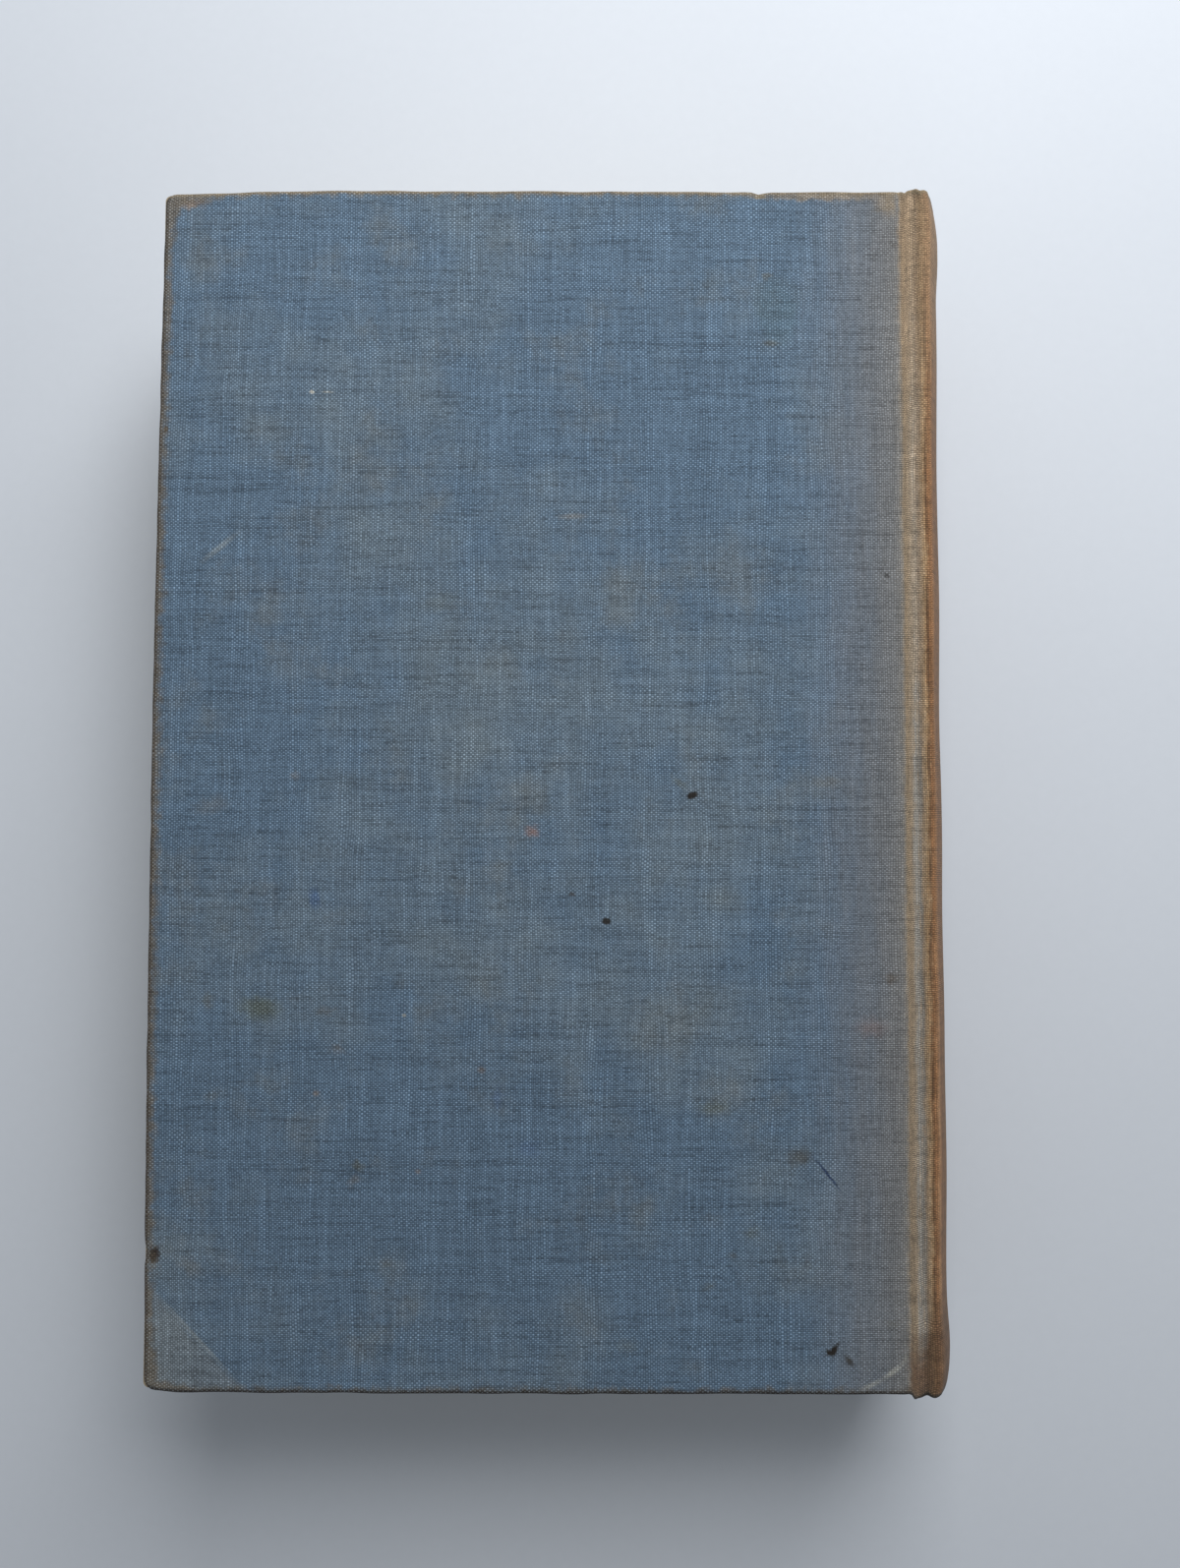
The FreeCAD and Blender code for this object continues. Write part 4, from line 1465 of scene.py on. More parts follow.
@dataclass
class ClothGrid:
    """The points of half the case's cloth while it is laid out, with the steps round its edges.

    Rows go from tail to head and columns from the spine's centre line to the fore-edge. Sunk says how
    far round an edge a point is, from 0 to 1.
    """

    path: CasePath
    row_pitch: float
    x: np.ndarray = field(init=False)
    y: np.ndarray = field(init=False)
    across: np.ndarray = field(init=False)
    sunk: np.ndarray = field(init=False)
    cut: np.ndarray = field(init=False)

    def __post_init__(self) -> None:
        """Work out the steps round the edges and make room for the points."""
        book = self.path.book
        self.end_y = book.cover_end - book.corner
        self.face_y = np.linspace(-self.end_y, self.end_y, round(2 * self.end_y / self.row_pitch) + 1)
        self.depth = np.linalg.norm(self.path.outer - self.path.inner, axis=1)
        self.board_depth = book.cloth_face - book.turn_in_face
        fold = EdgeFold(book.corner, book.turn_in)
        self.out, self.down, self.round = fold.steps(self.depth)
        edge = fold.steps(np.array([self.board_depth]))
        self.edge_out, self.edge_down, self.edge_round = (part[:, 0] for part in edge)
        self.columns = len(self.path.run)
        self.steps = len(self.edge_out)
        self.face_rows = slice(self.steps, self.steps + len(self.face_y))
        shape = (len(self.face_y) + 2 * self.steps, self.columns + self.steps)
        self.x = np.empty(shape)
        self.y = np.empty(shape)
        self.across = np.empty(shape)
        self.sunk = np.zeros(shape)
        self.cut = np.empty((*shape, 2))

    def end_row(self, number: int, head: bool) -> int:
        """Give the row of a step round the head or tail edge."""
        return self.face_rows.stop + number if head else self.face_rows.start - 1 - number


@dataclass(frozen=True)
class Wear:
    """Where the back cover is hurt and both joints are worn, in millimetres from the cover's middle.

    Half is half a mark's width. The crease runs from its place to its end.
    """

    notch_x: float = 37.6
    notch_half: float = 1.1
    notch_depth: float = 0.5
    nick_y: float = -86.4
    nick_half: float = 1.3
    nick_depth: float = 0.35
    nick_drop: float = 0.3
    fold_drop: float = 0.12
    crease_at: tuple[float, float] = (59.8, -106.6)
    crease_end: tuple[float, float] = (54.5, -101.0)
    crease_slope: float = 1.15
    crease_half: float = 0.9
    crease_drop: float = 0.12
    ridge_half: float = 1.5
    groove_half: float = 1.4
    tail_swell: float = 0.55
    tail_swell_y: float = -105.0
    tail_swell_half: float = 5.5
    waist: float = 0.24
    waist_y: float = 42.0
    waist_half: float = 50.0
    head_swell: float = 0.5
    bulge: float = 0.16


@dataclass
class CaseHalf:
    """Half of the case's cloth: from the spine's centre line over one joint and one board.

    The cap's sizes are for the tail and the head.
    """

    cover: Cover
    path: CasePath
    row_pitch: float = 1.35
    bow: float = 0.75
    bow_shift: float = -0.5
    fold_point: float = 0.2
    cap_rise: tuple[float, float] = (0.75, 0.8)
    cap_bump: tuple[float, float] = (0.85, 0.75)
    cap_bump_at: tuple[float, float] = (1.0, -0.4)
    cap_bump_half: tuple[float, float] = (1.5, 1.4)
    cap_uneven: float = 0.18
    relief: float = 0.09
    head_bow: float = 0.64
    tail_bow: float = 0.52
    wear: Wear = Wear()
    seed: float = 0.0

    def cap(self, x: np.ndarray, run: np.ndarray, head: bool) -> np.ndarray:
        """Say how far the cloth stands past the boards' ends.

        Args:
            x: Each column's distance towards the spine.
            run: Each column's run from the spine's centre line.
            head: True for the head, False for the tail.

        Returns:
            The rise of each column, in millimetres.
        """
        joint_edge, end = self.path.book.joint_edge, int(head)
        on_board = ease(-x, -(joint_edge + 1.0), -(joint_edge - 0.4))
        bump_at = self.path.groove + self.cap_bump_at[end]
        bump = np.exp(-((run - bump_at) / self.cap_bump_half[end]) ** 4)
        row = np.full_like(run, 30.0 if head else -30.0)
        uneven = self.cap_uneven * ripple(run, row, 3.1, self.seed + 7)
        return (1 - on_board) * (self.cap_rise[end] + self.cap_bump[end] * bump + uneven)

    def surface(self) -> Sheet:
        """Lay the cloth out as a grid from tail to head and from spine to fore-edge.

        Returns:
            The grid.
        """
        grid = ClothGrid(self.path, self.row_pitch)
        lift = [self.cap(self.path.outer[:, 0], self.path.run, head) for head in (False, True)]
        self.lay_face(grid, lift)
        self.lay_ends(grid, lift)
        self.lay_fore_edge(grid)
        self.lay_corners(grid)
        self.handle(grid)
        grid.cut[..., 0] *= self.cover.side
        return Sheet(self.path.book.place(grid.x, grid.y, grid.across, self.cover.side), grid.cut)

    def lay_face(self, grid: ClothGrid, lift: list[np.ndarray]) -> None:
        """Lay the face and the spine.

        Args:
            grid: The cloth's points, which it fills in.
            lift: How far each column stands past the boards at tail and head.
        """
        path, columns, rows = self.path, grid.columns, grid.face_rows
        level = grid.face_y[:, None]
        share = level / grid.end_y
        grid.x[rows, :columns] = path.outer[:, 0]
        grid.y[rows, :columns] = level + np.where(share < 0, share * lift[0], share * lift[1])
        grid.across[rows, :columns] = path.outer[:, 1]
        grid.cut[rows, :columns, 0] = path.run
        grid.cut[rows, :columns, 1] = level

    def lay_ends(self, grid: ClothGrid, lift: list[np.ndarray]) -> None:
        """Lay the cloth round the head and tail edges.

        Args:
            grid: The cloth's points, which it fills in.
            lift: How far each column stands past the boards at tail and head.
        """
        path, columns, joint_x = self.path, grid.columns, self.path.book.joint_edge
        squeeze = np.clip((joint_x - path.outer[:, 0]) / (joint_x - path.corner_x), 0.0, 1.0)
        mitre = self.fold_point - grid.out.clip(max=self.fold_point)
        for head, sign in ((False, -1.0), (True, 1.0)):
            for number in range(grid.steps):
                row = grid.end_row(number, head)
                part = (grid.down[number] / grid.depth)[:, None]
                line = path.outer * (1 - part) + path.inner * part
                grid.x[row, :columns] = line[:, 0] + mitre[number] * squeeze
                grid.y[row, :columns] = sign * (grid.end_y + lift[int(head)] + grid.out[number])
                grid.across[row, :columns] = line[:, 1]
                grid.sunk[row, :columns] = part[:, 0]
                grid.cut[row, :columns, 0] = path.run
                grid.cut[row, :columns, 1] = sign * (grid.end_y + grid.round[number])

    def lay_fore_edge(self, grid: ClothGrid) -> None:
        """Lay the cloth round the fore-edge.

        Args:
            grid: The cloth's points, which it fills in.
        """
        path, rows = self.path, grid.face_rows
        mitre = self.fold_point - grid.edge_out.clip(max=self.fold_point)
        for number in range(grid.steps):
            column = grid.columns + number
            grid.x[rows, column] = path.corner_x - grid.edge_out[number]
            grid.y[rows, column] = grid.face_y * (1 - mitre[number] / grid.end_y)
            grid.across[rows, column] = path.book.cloth_face - grid.edge_down[number]
            grid.sunk[rows, column] = grid.edge_down[number] / grid.board_depth
            grid.cut[rows, column, 0] = path.run[-1] + grid.edge_round[number]
            grid.cut[rows, column, 1] = grid.face_y

    def lay_corners(self, grid: ClothGrid) -> None:
        """Fold the corners over, with a mitre inside.

        Args:
            grid: The cloth's points, which it fills in.
        """
        path, walk = self.path, grid.edge_round
        mitre = self.fold_point - grid.edge_out.clip(max=self.fold_point)
        for head, sign in ((False, -1.0), (True, 1.0)):
            for i in range(grid.steps):
                row = grid.end_row(i, head)
                for j in range(grid.steps):
                    far = max(i, j)
                    if j >= i:
                        turn = math.pi / 4 * walk[i] / walk[j]
                    else:
                        turn = math.pi / 2 - math.pi / 4 * walk[j] / walk[i]
                    reach = max(grid.edge_out[far], self.fold_point)
                    column = grid.columns + j
                    grid.x[row, column] = path.corner_x - reach * math.cos(turn) + mitre[far]
                    grid.y[row, column] = sign * (grid.end_y + reach * math.sin(turn) - mitre[far])
                    grid.across[row, column] = path.book.cloth_face - grid.edge_down[far]
                    grid.sunk[row, column] = grid.edge_down[far] / grid.board_depth
                    grid.cut[row, column] = (path.run[-1] + walk[j], sign * (grid.end_y + walk[i]))

    def handle(self, grid: ClothGrid) -> None:
        """Make the cloth as uneven as long use has left it.

        Args:
            grid: The cloth's points, which it moves.
        """
        back = self.cover is Cover.BACK
        seed = self.seed + (0.0 if back else 40.0)
        face = ease(grid.cut[..., 0], self.path.edge, self.path.edge + 3.0) * (1 - grid.sunk)
        near_fore = ease(-grid.x, -20.0, -self.path.book.fore_edge)
        self.bow_edges(grid, near_fore, face, seed)
        near_end = self.knock_edges(grid, near_fore, seed)
        if back:
            self.mar_back(grid, near_end, face)
        self.wear_joint(grid, seed)

    def bow_edges(self, grid: ClothGrid, near_fore: np.ndarray, face: np.ndarray, seed: float) -> None:
        """Bow the edges out and make the faces slightly uneven.

        Args:
            grid: The cloth's points, which it moves.
            near_fore: How near the fore-edge each point is, from 0 to 1.
            face: How much each point is on the cover's face, from 0 to 1.
            seed: A number that picks the unevenness.
        """
        book, x, y = self.path.book, grid.x, grid.y
        x = x - (self.bow * (1 - (y / book.cover_end) ** 2) + self.bow_shift) * near_fore
        uneven = ripple(x, y, 38.0, seed + 1.0) + 0.5 * ripple(x, y, 11.0, seed + 2.0)
        flat = 0.0 if self.cover is Cover.BACK else 1.4 * self.relief
        grid.across = grid.across + face * (self.relief * uneven - flat)
        head_bow = self.head_bow * (1 - ease(-x, 40.0, -book.fore_edge))
        tail_bow = self.tail_bow * (1 - ease(-x, -book.fore_edge - 7.0, -book.fore_edge))
        end_share = ease(np.abs(y), 60.0, book.cover_end)
        grid.y = y + np.where(y > 0, head_bow, -tail_bow) * end_share
        grid.x = x

    def knock_edges(self, grid: ClothGrid, near_fore: np.ndarray, seed: float) -> np.ndarray:
        """Knock the edges in here and there.

        Args:
            grid: The cloth's points, which it moves.
            near_fore: How near the fore-edge each point is, from 0 to 1.
            seed: A number that picks the unevenness.

        Returns:
            How near the head or tail edge each point is, from 0 to 1.
        """
        cover_end = self.path.book.cover_end
        wall = ease(grid.sunk, 0.0, 0.12) * (1 - ease(grid.sunk, 0.9, 1.0))
        knock = 0.10 * ripple(grid.y, grid.cut[..., 0], 6.0, seed + 3.0)
        grid.x = grid.x + wall * near_fore * knock
        near_end = ease(np.abs(grid.y), cover_end - 1.2, cover_end - 0.2)
        side = np.sign(grid.y)
        grid.y = grid.y - side * near_end * 0.12 * ripple(grid.x, side * 9.0, 7.0, seed + 4.0)
        return near_end

    def mar_back(self, grid: ClothGrid, near_end: np.ndarray, face: np.ndarray) -> None:
        """Put the back cover's notch, nick, corner fold and crease where they show.

        Args:
            grid: The cloth's points, which it moves.
            near_end: How near the head or tail edge each point is, from 0 to 1.
            face: How much each point is on the cover's face, from 0 to 1.
        """
        wear, fore_edge = self.wear, self.path.book.fore_edge
        notch = np.exp(-((grid.x - wear.notch_x) / wear.notch_half) ** 2) * (grid.y > 0)
        grid.y = grid.y - near_end * notch * wear.notch_depth
        nick = np.exp(-((grid.y - wear.nick_y) / wear.nick_half) ** 2)
        nick = nick * ease(-grid.x, -(fore_edge + 1.6), -fore_edge + 0.4)
        grid.x = grid.x + nick * wear.nick_depth
        grid.across = grid.across - nick * wear.nick_drop * (1 - grid.sunk)
        beyond = (FOLD_X * grid.x + FOLD_Y * grid.y) - FOLD_AWAY
        grid.across = grid.across - face * wear.fold_drop * ease(beyond, -0.4, 0.8)
        (at_x, at_y), (end_x, end_y) = wear.crease_at, wear.crease_end
        off_crease = (grid.x - at_x - (grid.y - at_y) * wear.crease_slope) / wear.crease_half
        crease = np.exp(-off_crease ** 2) * (grid.y < end_y) * (grid.x > end_x)
        grid.across = grid.across + face * wear.crease_drop * crease

    def wear_joint(self, grid: ClothGrid, seed: float) -> None:
        """Make the joint's groove, its ridge and the spine less than straight.

        Args:
            grid: The cloth's points, which it moves.
            seed: A number that picks the unevenness.
        """
        path, book, wear = self.path, self.path.book, self.wear
        x, y, across, run = grid.x, grid.y, grid.across, grid.cut[..., 0]
        outside = ease(1 - grid.sunk, 0.0, 0.6)
        joint = 1 - ease(run, path.edge - 1.0, path.edge + 1.0)
        ridge = np.exp(-((run - path.ridge) / wear.ridge_half) ** 2)
        groove = np.exp(-((run - path.groove) / wear.groove_half) ** 2)
        slow = ripple(y, np.full_like(y, 2.0), 22.0, seed + 5.0)
        quick = ripple(y, run * 2.0, 7.0, seed + 6.0)
        creases = ripple(y * 0.22, run * 1.6, 1.3, seed + 8.0)
        worn = ridge * (0.14 * slow + 0.07 * quick) + groove * (0.10 * slow + 0.05 * quick)
        across = across + outside * joint * (worn + 0.045 * creases * (ridge + groove))
        x = x + outside * ridge * (0.12 * quick + 0.08 * slow)
        spine = 1 - ease(run, path.ridge - 3.0, path.ridge)
        bulge = wear.bulge * ripple(y, run, 24.0, seed + 9.0)
        tail = wear.tail_swell * np.exp(-((y - wear.tail_swell_y) / wear.tail_swell_half) ** 2)
        tail = tail * ease(run, path.ridge - 17.0, path.ridge - 6.0)
        waist = wear.waist * np.exp(-((y - wear.waist_y) / wear.waist_half) ** 2)
        head = wear.head_swell * ease(y, 94.0, 104.0) * (1 - ease(y, 106.0, 112.0)) - waist
        spread = (spine + 0.6 * ridge) * (bulge + tail + head)
        height = np.clip(across / book.cloth_face, 0.0, 1.0)
        x = x + outside * spread * np.sqrt(1 - 0.75 * height ** 2)
        across = across + outside * spread * height * 0.6
        ends = ease(np.abs(y), book.cover_end - 1.5, book.cap_end + 0.4) * joint
        grid.x = x - ends * (1 - grid.sunk) * 0.2 * (spine + ridge)
        grid.across = across

    def build(self, finish: bpy.types.Material, replaced: tuple[str, ...]) -> bpy.types.Object:
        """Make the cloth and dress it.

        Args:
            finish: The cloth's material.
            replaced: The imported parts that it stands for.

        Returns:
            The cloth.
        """
        path, book, cover = self.path, self.path.book, self.cover
        piece = self.surface().build(f"{cover.value}_book_cloth", flip=cover is Cover.BACK)
        thicken(piece, book.cloth)
        piece.data.materials.append(finish)
        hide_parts(*replaced)
        height = book.hinge_height(cover)
        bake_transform(piece)
        cover.named("board")
        return piece


@dataclass
class Case:
    """The two covers and the cloth spine between them."""

    book: Book
    path: CasePath

    def cloth(self, mask: MarkMask) -> list[bpy.types.Object]:
        """Make both halves of the cloth.

        Args:
            mask: The mask that the marks are drawn with.

        Returns:
            The two halves.
        """
        back_finish = BookCloth(BACK_MARKS, 1.0, self.path, mask, folded=True).make("book_cloth_back")
        front_finish = BookCloth(FRONT_MARKS, 21.0, self.path, mask, folded=False).make("book_cloth_front")
        back = CaseHalf(Cover.BACK, self.path).build(back_finish, ("back_cloth", "spine_cloth"))
        front = CaseHalf(Cover.FRONT, self.path, row_pitch=1.7).build(front_finish, ("front_cloth",))
        return [back, front]

    def boards(self) -> list[bpy.types.Object]:
        """Dress the two boards and the spine's inlay.

        Returns:
            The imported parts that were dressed.
        """
        board = PressedStock("binders_board", (128, 116, 96), (70, 62, 50), (150, 138, 116), 0.35).make()
        inlay = PressedStock("inlay_card", (150, 126, 92), (96, 78, 54), (170, 148, 114), 0.12).make()
        return [dress("back_board", board), dress("front_board", board), dress("spine_inlay", inlay)]

    def pastedown(self, cover: Cover, finish: bpy.types.Material) -> bpy.types.Object:
        """Make the leaf that is glued down inside a cover and runs on through the joint.

        Args:
            cover: The cover.
            finish: The leaf's material.

        Returns:
            The leaf.
        """
        book = self.book
        start_x, edge_x = book.page_edge, book.joint_edge
        mull_x = edge_x - book.mull_flange
        foot_x = edge_x + 2.85
        end = book.page_end
        x = np.unique(np.concatenate([
            np.linspace(start_x, start_x + 10.5, 6), np.linspace(start_x + 10.5, start_x + 13.5, 8),
            np.linspace(start_x + 13.5, mull_x - 1.5, 50), np.linspace(mull_x - 1.5, mull_x + 1.5, 8),
            np.linspace(mull_x + 1.5, edge_x - 1.0, 16), np.linspace(edge_x - 1.0, foot_x, 18)]))
        side_y = np.concatenate([
            np.linspace(0.0, end - 16.0, 44), np.linspace(end - 16.0, end - 10.0, 15)[1:],
            np.linspace(end - 10.0, end, 6)[1:]])
        y = np.concatenate([-side_y[:0:-1], side_y])
        grid_x, grid_y = np.meshgrid(x, y)
        level = self.paste_level(grid_x, grid_y, cover)
        points = book.place(grid_x, grid_y, level, cover.side)
        sheet = Sheet(points, np.stack([grid_x, grid_y], axis=-1))
        piece = sheet.build(f"{cover.value}_paste_leaf", flip=cover is Cover.BACK)
        piece.data.flip_normals()
        thicken(piece, book.paper)
        piece.data.materials.append(finish)
        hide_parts(cover.named("pastedown"))
        height = book.hinge_height(cover)
        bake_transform(piece)
        return piece


    def paste_level(self, x: np.ndarray, y: np.ndarray, cover: Cover) -> np.ndarray:
        """Say how deep the glued leaf lies over turn-ins, mull and board.

        Args:
            x: Distance towards the spine.
            y: Distance towards the head.
            cover: The cover.

        Returns:
            Its distance from the middle plane.
        """
        book = self.book
        end, edge_x = book.page_end, book.joint_edge
        mull_x = edge_x - book.mull_flange
        over_fore = 1 - ease(x, book.page_edge + 11.2, book.page_edge + 12.8)
        over_ends = ease(np.abs(y), end - 12.8, end - 11.2)
        over_cloth = np.maximum(over_fore, over_ends)
        over_mull = ease(x, mull_x - 0.5, mull_x + 0.5)
        over_mull = over_mull * (1 - ease(np.abs(y), book.mull_half - 0.5, book.mull_half + 0.5))
        level = book.board_inside - book.paper - book.cloth * over_cloth - 0.2 * over_mull * (1 - over_cloth)
        wrinkle = ripple(x, y, 17.0, 3.0 + cover.side) * 0.03
        level = level + wrinkle * (1 - over_cloth) * (1 - over_mull)
        crossing = ease(x, edge_x - 0.9, edge_x + 0.6)
        level = level * (1 - crossing) + (book.leaf_face + 0.03) * crossing
        return np.maximum(level, book.leaf_face)


# The text block: leaves, mull, linings and free endpapers

@dataclass
class BlockSkin:
    """The skin of the block of leaves: points by leaf, by place along it and by height, each made once."""

    x: np.ndarray
    across: np.ndarray
    half_height: np.ndarray
    cut_across: np.ndarray
    length: np.ndarray
    numbers: dict[tuple[int, int, int], int] = field(default_factory=dict)
    points: list[tuple[float, float, float]] = field(default_factory=list)
    cut: list[tuple[float, float]] = field(default_factory=list)

    def corner(self, i: int, j: int, k: int) -> int:
        """Give the number of a point, and make the point where it is new.

        Args:
            i: Its leaf.
            j: Its place along the leaf.
            k: Its place between tail and head.

        Returns:
            The number.
        """
        if (i, j, k) not in self.numbers:
            self.numbers[(i, j, k)] = len(self.points)
            y = self.length[k] * self.half_height[i]
            self.points.append((float(self.x[i, j]), float(y), float(self.across[i, j])))
            self.cut.append((float(self.cut_across[i]), float(self.length[k])))
        return self.numbers[(i, j, k)]

    def faces(self) -> list[tuple[int, ...]]:
        """Cover the six sides.

        Returns:
            The corners of each face.
        """
        sizes = (*self.x.shape, len(self.length))
        faces = []
        for fixed, first, second in ((0, 1, 2), (1, 2, 0), (2, 0, 1)):
            for end in (0, sizes[fixed] - 1):
                for a in range(sizes[first] - 1):
                    for b in range(sizes[second] - 1):
                        ring = []
                        for da, db in ((0, 0), (1, 0), (1, 1), (0, 1)):
                            key = [end, end, end]
                            key[first] = a + da
                            key[second] = b + db
                            ring.append(self.corner(*key))
                        faces.append(tuple(ring if end == 0 else ring[::-1]))
        return faces


@dataclass
class TextBlock:
    """The sewn and rounded leaves with what is glued to them."""

    book: Book
    sections: int = 24
    per_section: int = 6
    shoulder_across: float = 18.85
    shoulder_x: float = 68.45
    flank_foot: float = 67.15
    hollow: float = 5.5
    round_depth: float = 5.18
    round_half: float = 19.0
    mull_thick: float = 0.18

    def leaf_line(self, leaf: np.ndarray, share: np.ndarray) -> tuple[np.ndarray, np.ndarray]:
        """Follow leaves from the back to the fore-edge.

        Args:
            leaf: Which leaf, from -1 to 1 across the block.
            share: How far along it, from 0 at the back to 1 at the fore-edge.

        Returns:
            Distance towards the spine and distance across.
        """
        book = self.book
        half = book.page_face
        back_radius = (self.round_depth ** 2 + self.round_half ** 2) / (2 * self.round_depth)
        back_across = self.shoulder_across * leaf
        back_x = book.back_apex - back_radius + np.sqrt(back_radius ** 2 - back_across ** 2)
        tip = ease(np.abs(back_across), 18.1, self.shoulder_across)
        back_x = back_x + tip * (self.shoulder_x - back_x)
        edge_radius = (self.hollow ** 2 + half ** 2) / (2 * self.hollow)
        edge_x = book.page_edge + self.hollow - edge_radius + np.sqrt(edge_radius ** 2 - (half * leaf) ** 2)
        x = back_x + share * (edge_x - back_x)
        start = self.flank_foot - 5.0 * (1 - np.abs(leaf))
        flare = ease(x, start, np.maximum(back_x, start + 0.3))
        straight = np.clip((x - start) / np.maximum(back_x - start, 0.3), 0.0, 1.0)
        outer = np.abs(leaf) ** 6
        flare = flare * (1 - outer) + straight * outer
        across = leaf * (half + (self.shoulder_across - half) * flare)
        return x, across

    def leaves(self, finish: bpy.types.Material) -> bpy.types.Object:
        """Make the block of leaves as one closed solid with its sections showing.

        Args:
            finish: The material of the leaves' edges.

        Returns:
            The block.
        """
        book = self.book
        leaf = np.linspace(-1.0, 1.0, self.sections * self.per_section + 1)
        near_back = np.linspace(0.0, 0.075, 18, endpoint=False)
        share = np.concatenate([near_back, np.linspace(0.075, 1.0, 36)])
        x, across = self.leaf_line(leaf[:, None], share[None, :])
        place = (leaf + 1) / 2 * self.sections
        inside = np.abs(place - np.floor(place) - 0.5) * 2
        number = np.minimum(np.floor(place), self.sections - 1)
        offset = 0.16 * ripple(number * 7.0, np.zeros_like(number), 5.0, 2.0) - 0.14 * inside ** 4
        fore = 0.10 * ripple(number * 7.0, np.ones_like(number) * 40.0, 5.0, 4.0) - 0.10 * inside ** 4
        offset[[0, -1]] = 0.0
        fore[[0, -1]] = 0.0
        x = x - fore[:, None] * ease(share, 0.93, 1.0)
        skin = BlockSkin(x, book.middle + across, book.page_end + offset, leaf * book.page_face,
                         np.linspace(-1.0, 1.0, 60))
        faces = skin.faces()
        piece = make_mesh("leaves", np.array(skin.points), np.array(faces), np.array(skin.cut))
        piece.data.set_sharp_from_angle(angle=math.radians(40))
        piece.data.materials.append(finish)
        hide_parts("page_block")
        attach(piece, "text_block")
        return piece

    def free_leaf(self, cover: Cover, finish: bpy.types.Material) -> bpy.types.Object:
        """Make the free leaf of an endpaper.

        Args:
            cover: The cover that it lies under.
            finish: The leaf's material.

        Returns:
            The leaf.
        """
        book = self.book
        x = np.concatenate([np.linspace(book.page_edge, book.page_edge + 6.0, 8),
                            np.linspace(book.page_edge + 6.0, self.flank_foot - 0.15, 70)[1:]])
        y = np.linspace(-book.page_end + 0.1, book.page_end - 0.1, 100)
        grid_x, grid_y = np.meshgrid(x, y)
        wave = 0.02 * (ripple(grid_x, grid_y, 24.0, 11.0 + cover.side) - 1.0)
        level = book.leaf_face + wave
        points = book.place(grid_x, grid_y, level, cover.side)
        sheet = Sheet(points, np.stack([grid_x, grid_y], axis=-1))
        piece = sheet.build(f"{cover.value}_free_leaf", flip=cover is Cover.FRONT)
        thicken(piece, book.paper - 0.07)
        piece.data.materials.append(finish)
        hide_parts(cover.named("flyleaf"))
        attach(piece, "text_block")
        return piece

    def mull(self, cover: Cover, finish: bpy.types.Material) -> bpy.types.Object:
        """Make half of the open cotton, from the back of the leaves through the joint to the board.

        Args:
            cover: The cover that it holds.
            finish: The cotton's material.

        Returns:
            The half.
        """
        book = self.book
        leaf = np.linspace(0.0, 0.985, 26)
        back_x, back_across = self.leaf_line(leaf, np.zeros_like(leaf))
        over = np.array([(self.shoulder_x + 0.05, self.shoulder_across + 0.22),
                         (self.shoulder_x - 0.25, self.shoulder_across + 0.12),
                         (self.flank_foot + 0.05, book.page_face + 0.75),
                         (self.flank_foot - 0.7, book.page_face + 0.62),
                         (book.joint_edge + 0.6, book.board_inside - 0.12),
                         (book.joint_edge - 0.6, book.board_inside - 0.02)])
        flange_x = np.linspace(book.joint_edge - 2.0, book.joint_edge - book.mull_flange, 14)
        flange = np.stack([flange_x, np.full_like(flange_x, book.board_inside - 0.02)], axis=1)
        back = np.stack([back_x + 0.19, back_across], axis=1)
        line = np.vstack([back, smooth_line(over, 5), flange])
        run = run_length(line)
        y = np.linspace(-book.mull_half, book.mull_half, 60)
        grid_x, grid_y = np.meshgrid(line[:, 0], y)
        grid_across, _ = np.meshgrid(line[:, 1], y)
        grid_run, _ = np.meshgrid(run, y)
        points = book.place(grid_x, grid_y, grid_across, cover.side)
        sheet = Sheet(points, np.stack([grid_run * cover.side, grid_y], axis=-1))
        piece = sheet.build(f"{cover.value}_mull", flip=cover is Cover.BACK)
        thicken(piece, self.mull_thick)
        piece.data.materials.append(finish)
        replaced = [cover.named("mull_flange")] + (["spine_mull"] if cover is Cover.BACK else [])
        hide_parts(*replaced)
        height = book.hinge_height(cover)
        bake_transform(piece)
        return piece

    def lining(self) -> bpy.types.Object:
        """Dress the paper lining of the back.

        Returns:
            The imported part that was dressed.
        """
        stock = PressedStock("lining_paper", (168, 146, 108), (110, 90, 62), (184, 164, 128), 0.1)
        return dress("spine_lining_paper", stock.make())


def dress(node: str, finish: bpy.types.Material) -> bpy.types.Object:
    """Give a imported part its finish.

    Args:
        node: The part's name.
        finish: The material.

    Returns:
        The part.
    """
    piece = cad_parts[node]
    piece.data.materials.clear()
    piece.data.materials.append(finish)
    return piece


# The studio

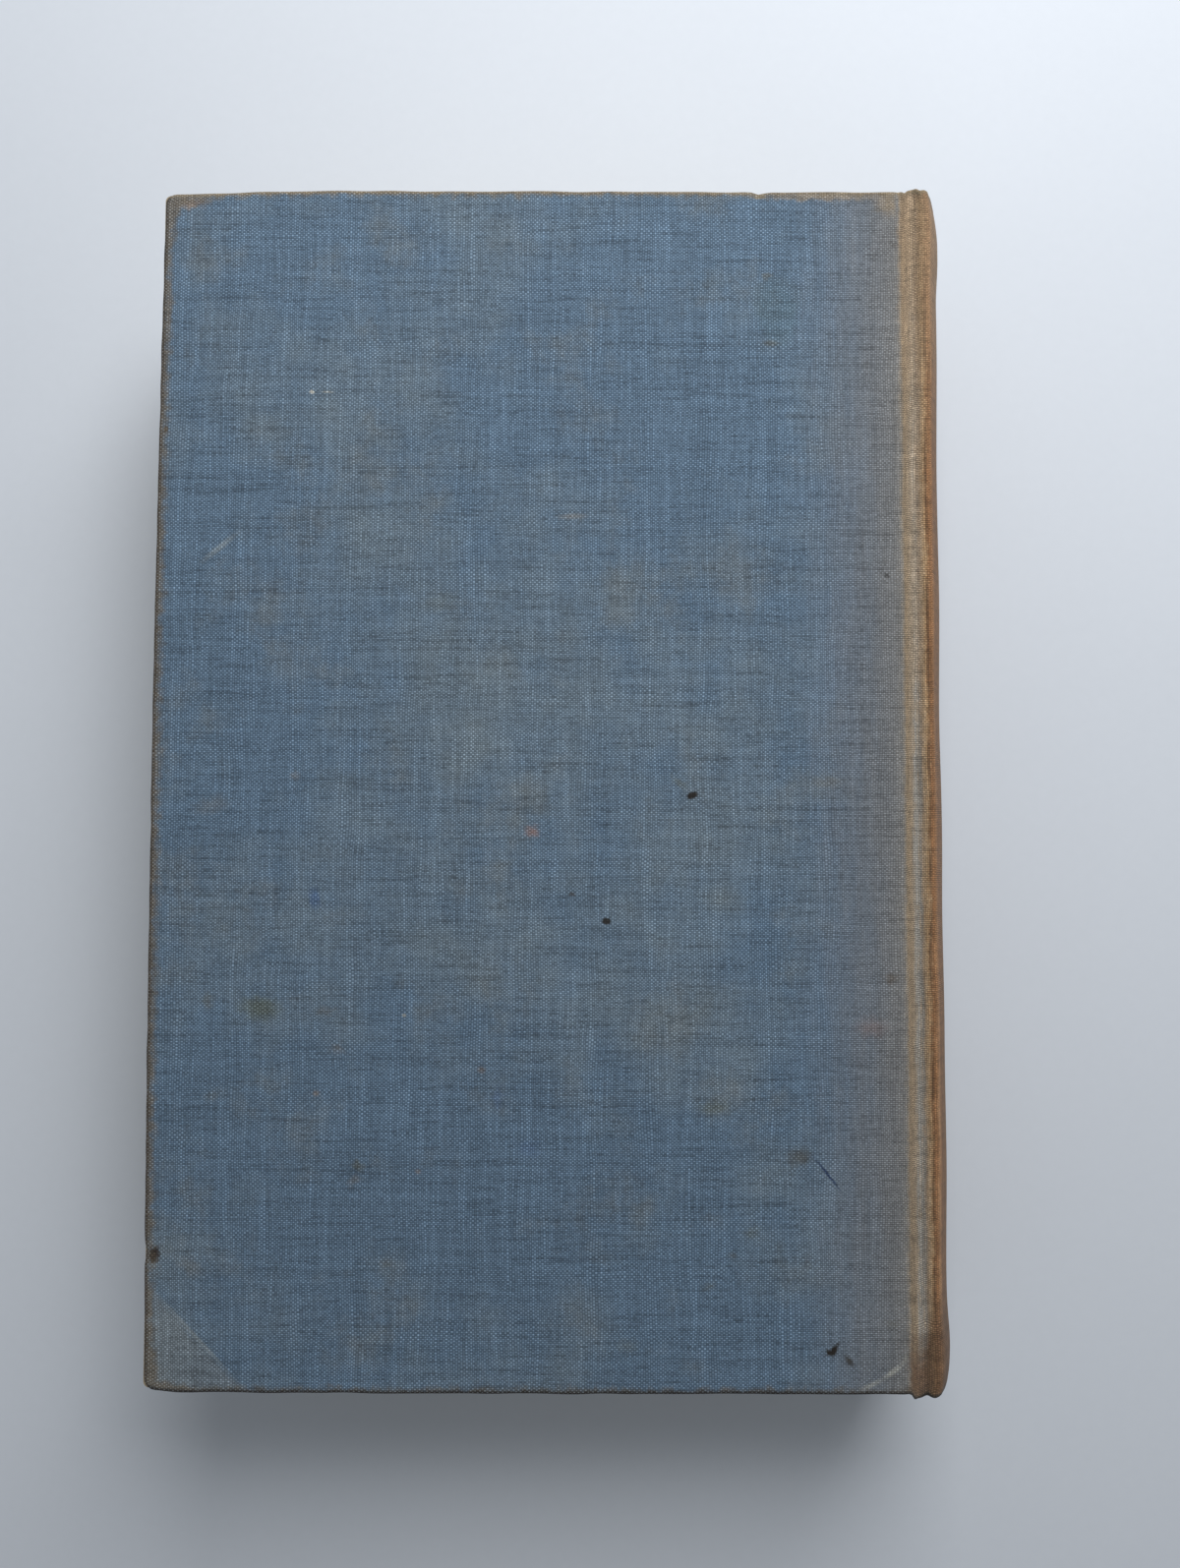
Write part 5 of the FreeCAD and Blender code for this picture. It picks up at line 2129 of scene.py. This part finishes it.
@dataclass
class Studio:
    """A pale floor, soft light from the head's side and the camera above the book."""

    lens: float = 27.04
    camera_place: tuple[float, float, float] = (0.00576, -0.01082, 0.2598)
    camera_tilt: float = 2.6
    camera_roll: float = 0.13
    floor_size: float = 1.6
    floor_gap: float = 0.15
    sky: float = 0.295
    sky_tone: Tone = (243, 249, 255)
    lamp_power: float = 3.9
    lamp_size: float = 0.4
    lamp_place: tuple[float, float, float] = (0.12, 0.38, 0.42)

    def camera(self) -> bpy.types.Object:
        """Set up the camera.

        Returns:
            The camera.
        """
        data = bpy.data.cameras.new("camera")
        data.lens = self.lens
        data.sensor_width = 36.0
        data.clip_start = 0.005
        piece = bpy.data.objects.new("camera", data)
        piece.location = self.camera_place
        piece.rotation_euler = (math.radians(self.camera_tilt), 0.0, math.radians(self.camera_roll))
        bpy.context.scene.collection.objects.link(piece)
        bpy.context.scene.camera = piece
        return piece

    def floor(self) -> bpy.types.Object:
        """Make the floor.

        Returns:
            The floor.
        """
        half = self.floor_size / 2 / MM
        points = np.array([(-half, -half, -self.floor_gap), (half, -half, -self.floor_gap),
                           (half, half, -self.floor_gap), (-half, half, -self.floor_gap)])
        piece = make_mesh("studio_floor", points, np.array([(0, 1, 2, 3)]), points[:, :2])
        piece.data.materials.append(StudioFloor().make())
        return piece

    def light(self) -> bpy.types.Object:
        """Set up the even sky and one large soft lamp.

        Returns:
            The lamp.
        """
        world = bpy.data.worlds.new("studio_sky")
        world.use_nodes = True
        background = world.node_tree.nodes["Background"]
        background.inputs["Color"].default_value = linear(self.sky_tone)
        background.inputs["Strength"].default_value = self.sky
        bpy.context.scene.world = world
        data = bpy.data.lights.new("studio_lamp", "AREA")
        data.shape = "SQUARE"
        data.size = self.lamp_size
        data.energy = self.lamp_power
        lamp = bpy.data.objects.new("studio_lamp", data)
        lamp.location = self.lamp_place
        lamp.rotation_euler = (-Vector(self.lamp_place)).to_track_quat("-Z", "Y").to_euler()
        bpy.context.scene.collection.objects.link(lamp)
        return lamp


def report(pieces: list[bpy.types.Object]) -> None:
    """Log each piece with its number of faces."""
    for piece in pieces:
        log.info("%s: %d faces", piece.name, len(piece.data.polygons))


def main() -> None:
    """Build the book and its studio, piece by piece."""
    logging.basicConfig(level=logging.INFO, format="%(message)s")
    studio = Studio()
    studio.camera()
    book = Book.from_frame()
    path = CasePath(book)
    case = Case(book, path)
    block = TextBlock(book)
    leaf_centre = (book.page_edge + book.joint_edge) / 2
    half_width = (book.joint_edge - book.page_edge) / 2
    paper = BookPaper("endpaper", (214, 203, 176), (188, 170, 134), (158, 120, 80),
                      half_width, book.page_end, leaf_centre, 5.0).make()
    cotton = OpenCotton().make()
    report(case.cloth(MarkMask()))
    report(case.boards())
    report([block.leaves(LeafEdges().make()), block.lining()])
    for cover in Cover:
        report([block.mull(cover, cotton), case.pastedown(cover, paper), block.free_leaf(cover, paper)])
    report([studio.floor()])
    studio.light()
    bpy.context.scene.view_settings.view_transform = "Standard"


if __name__ == "__main__":
    main()
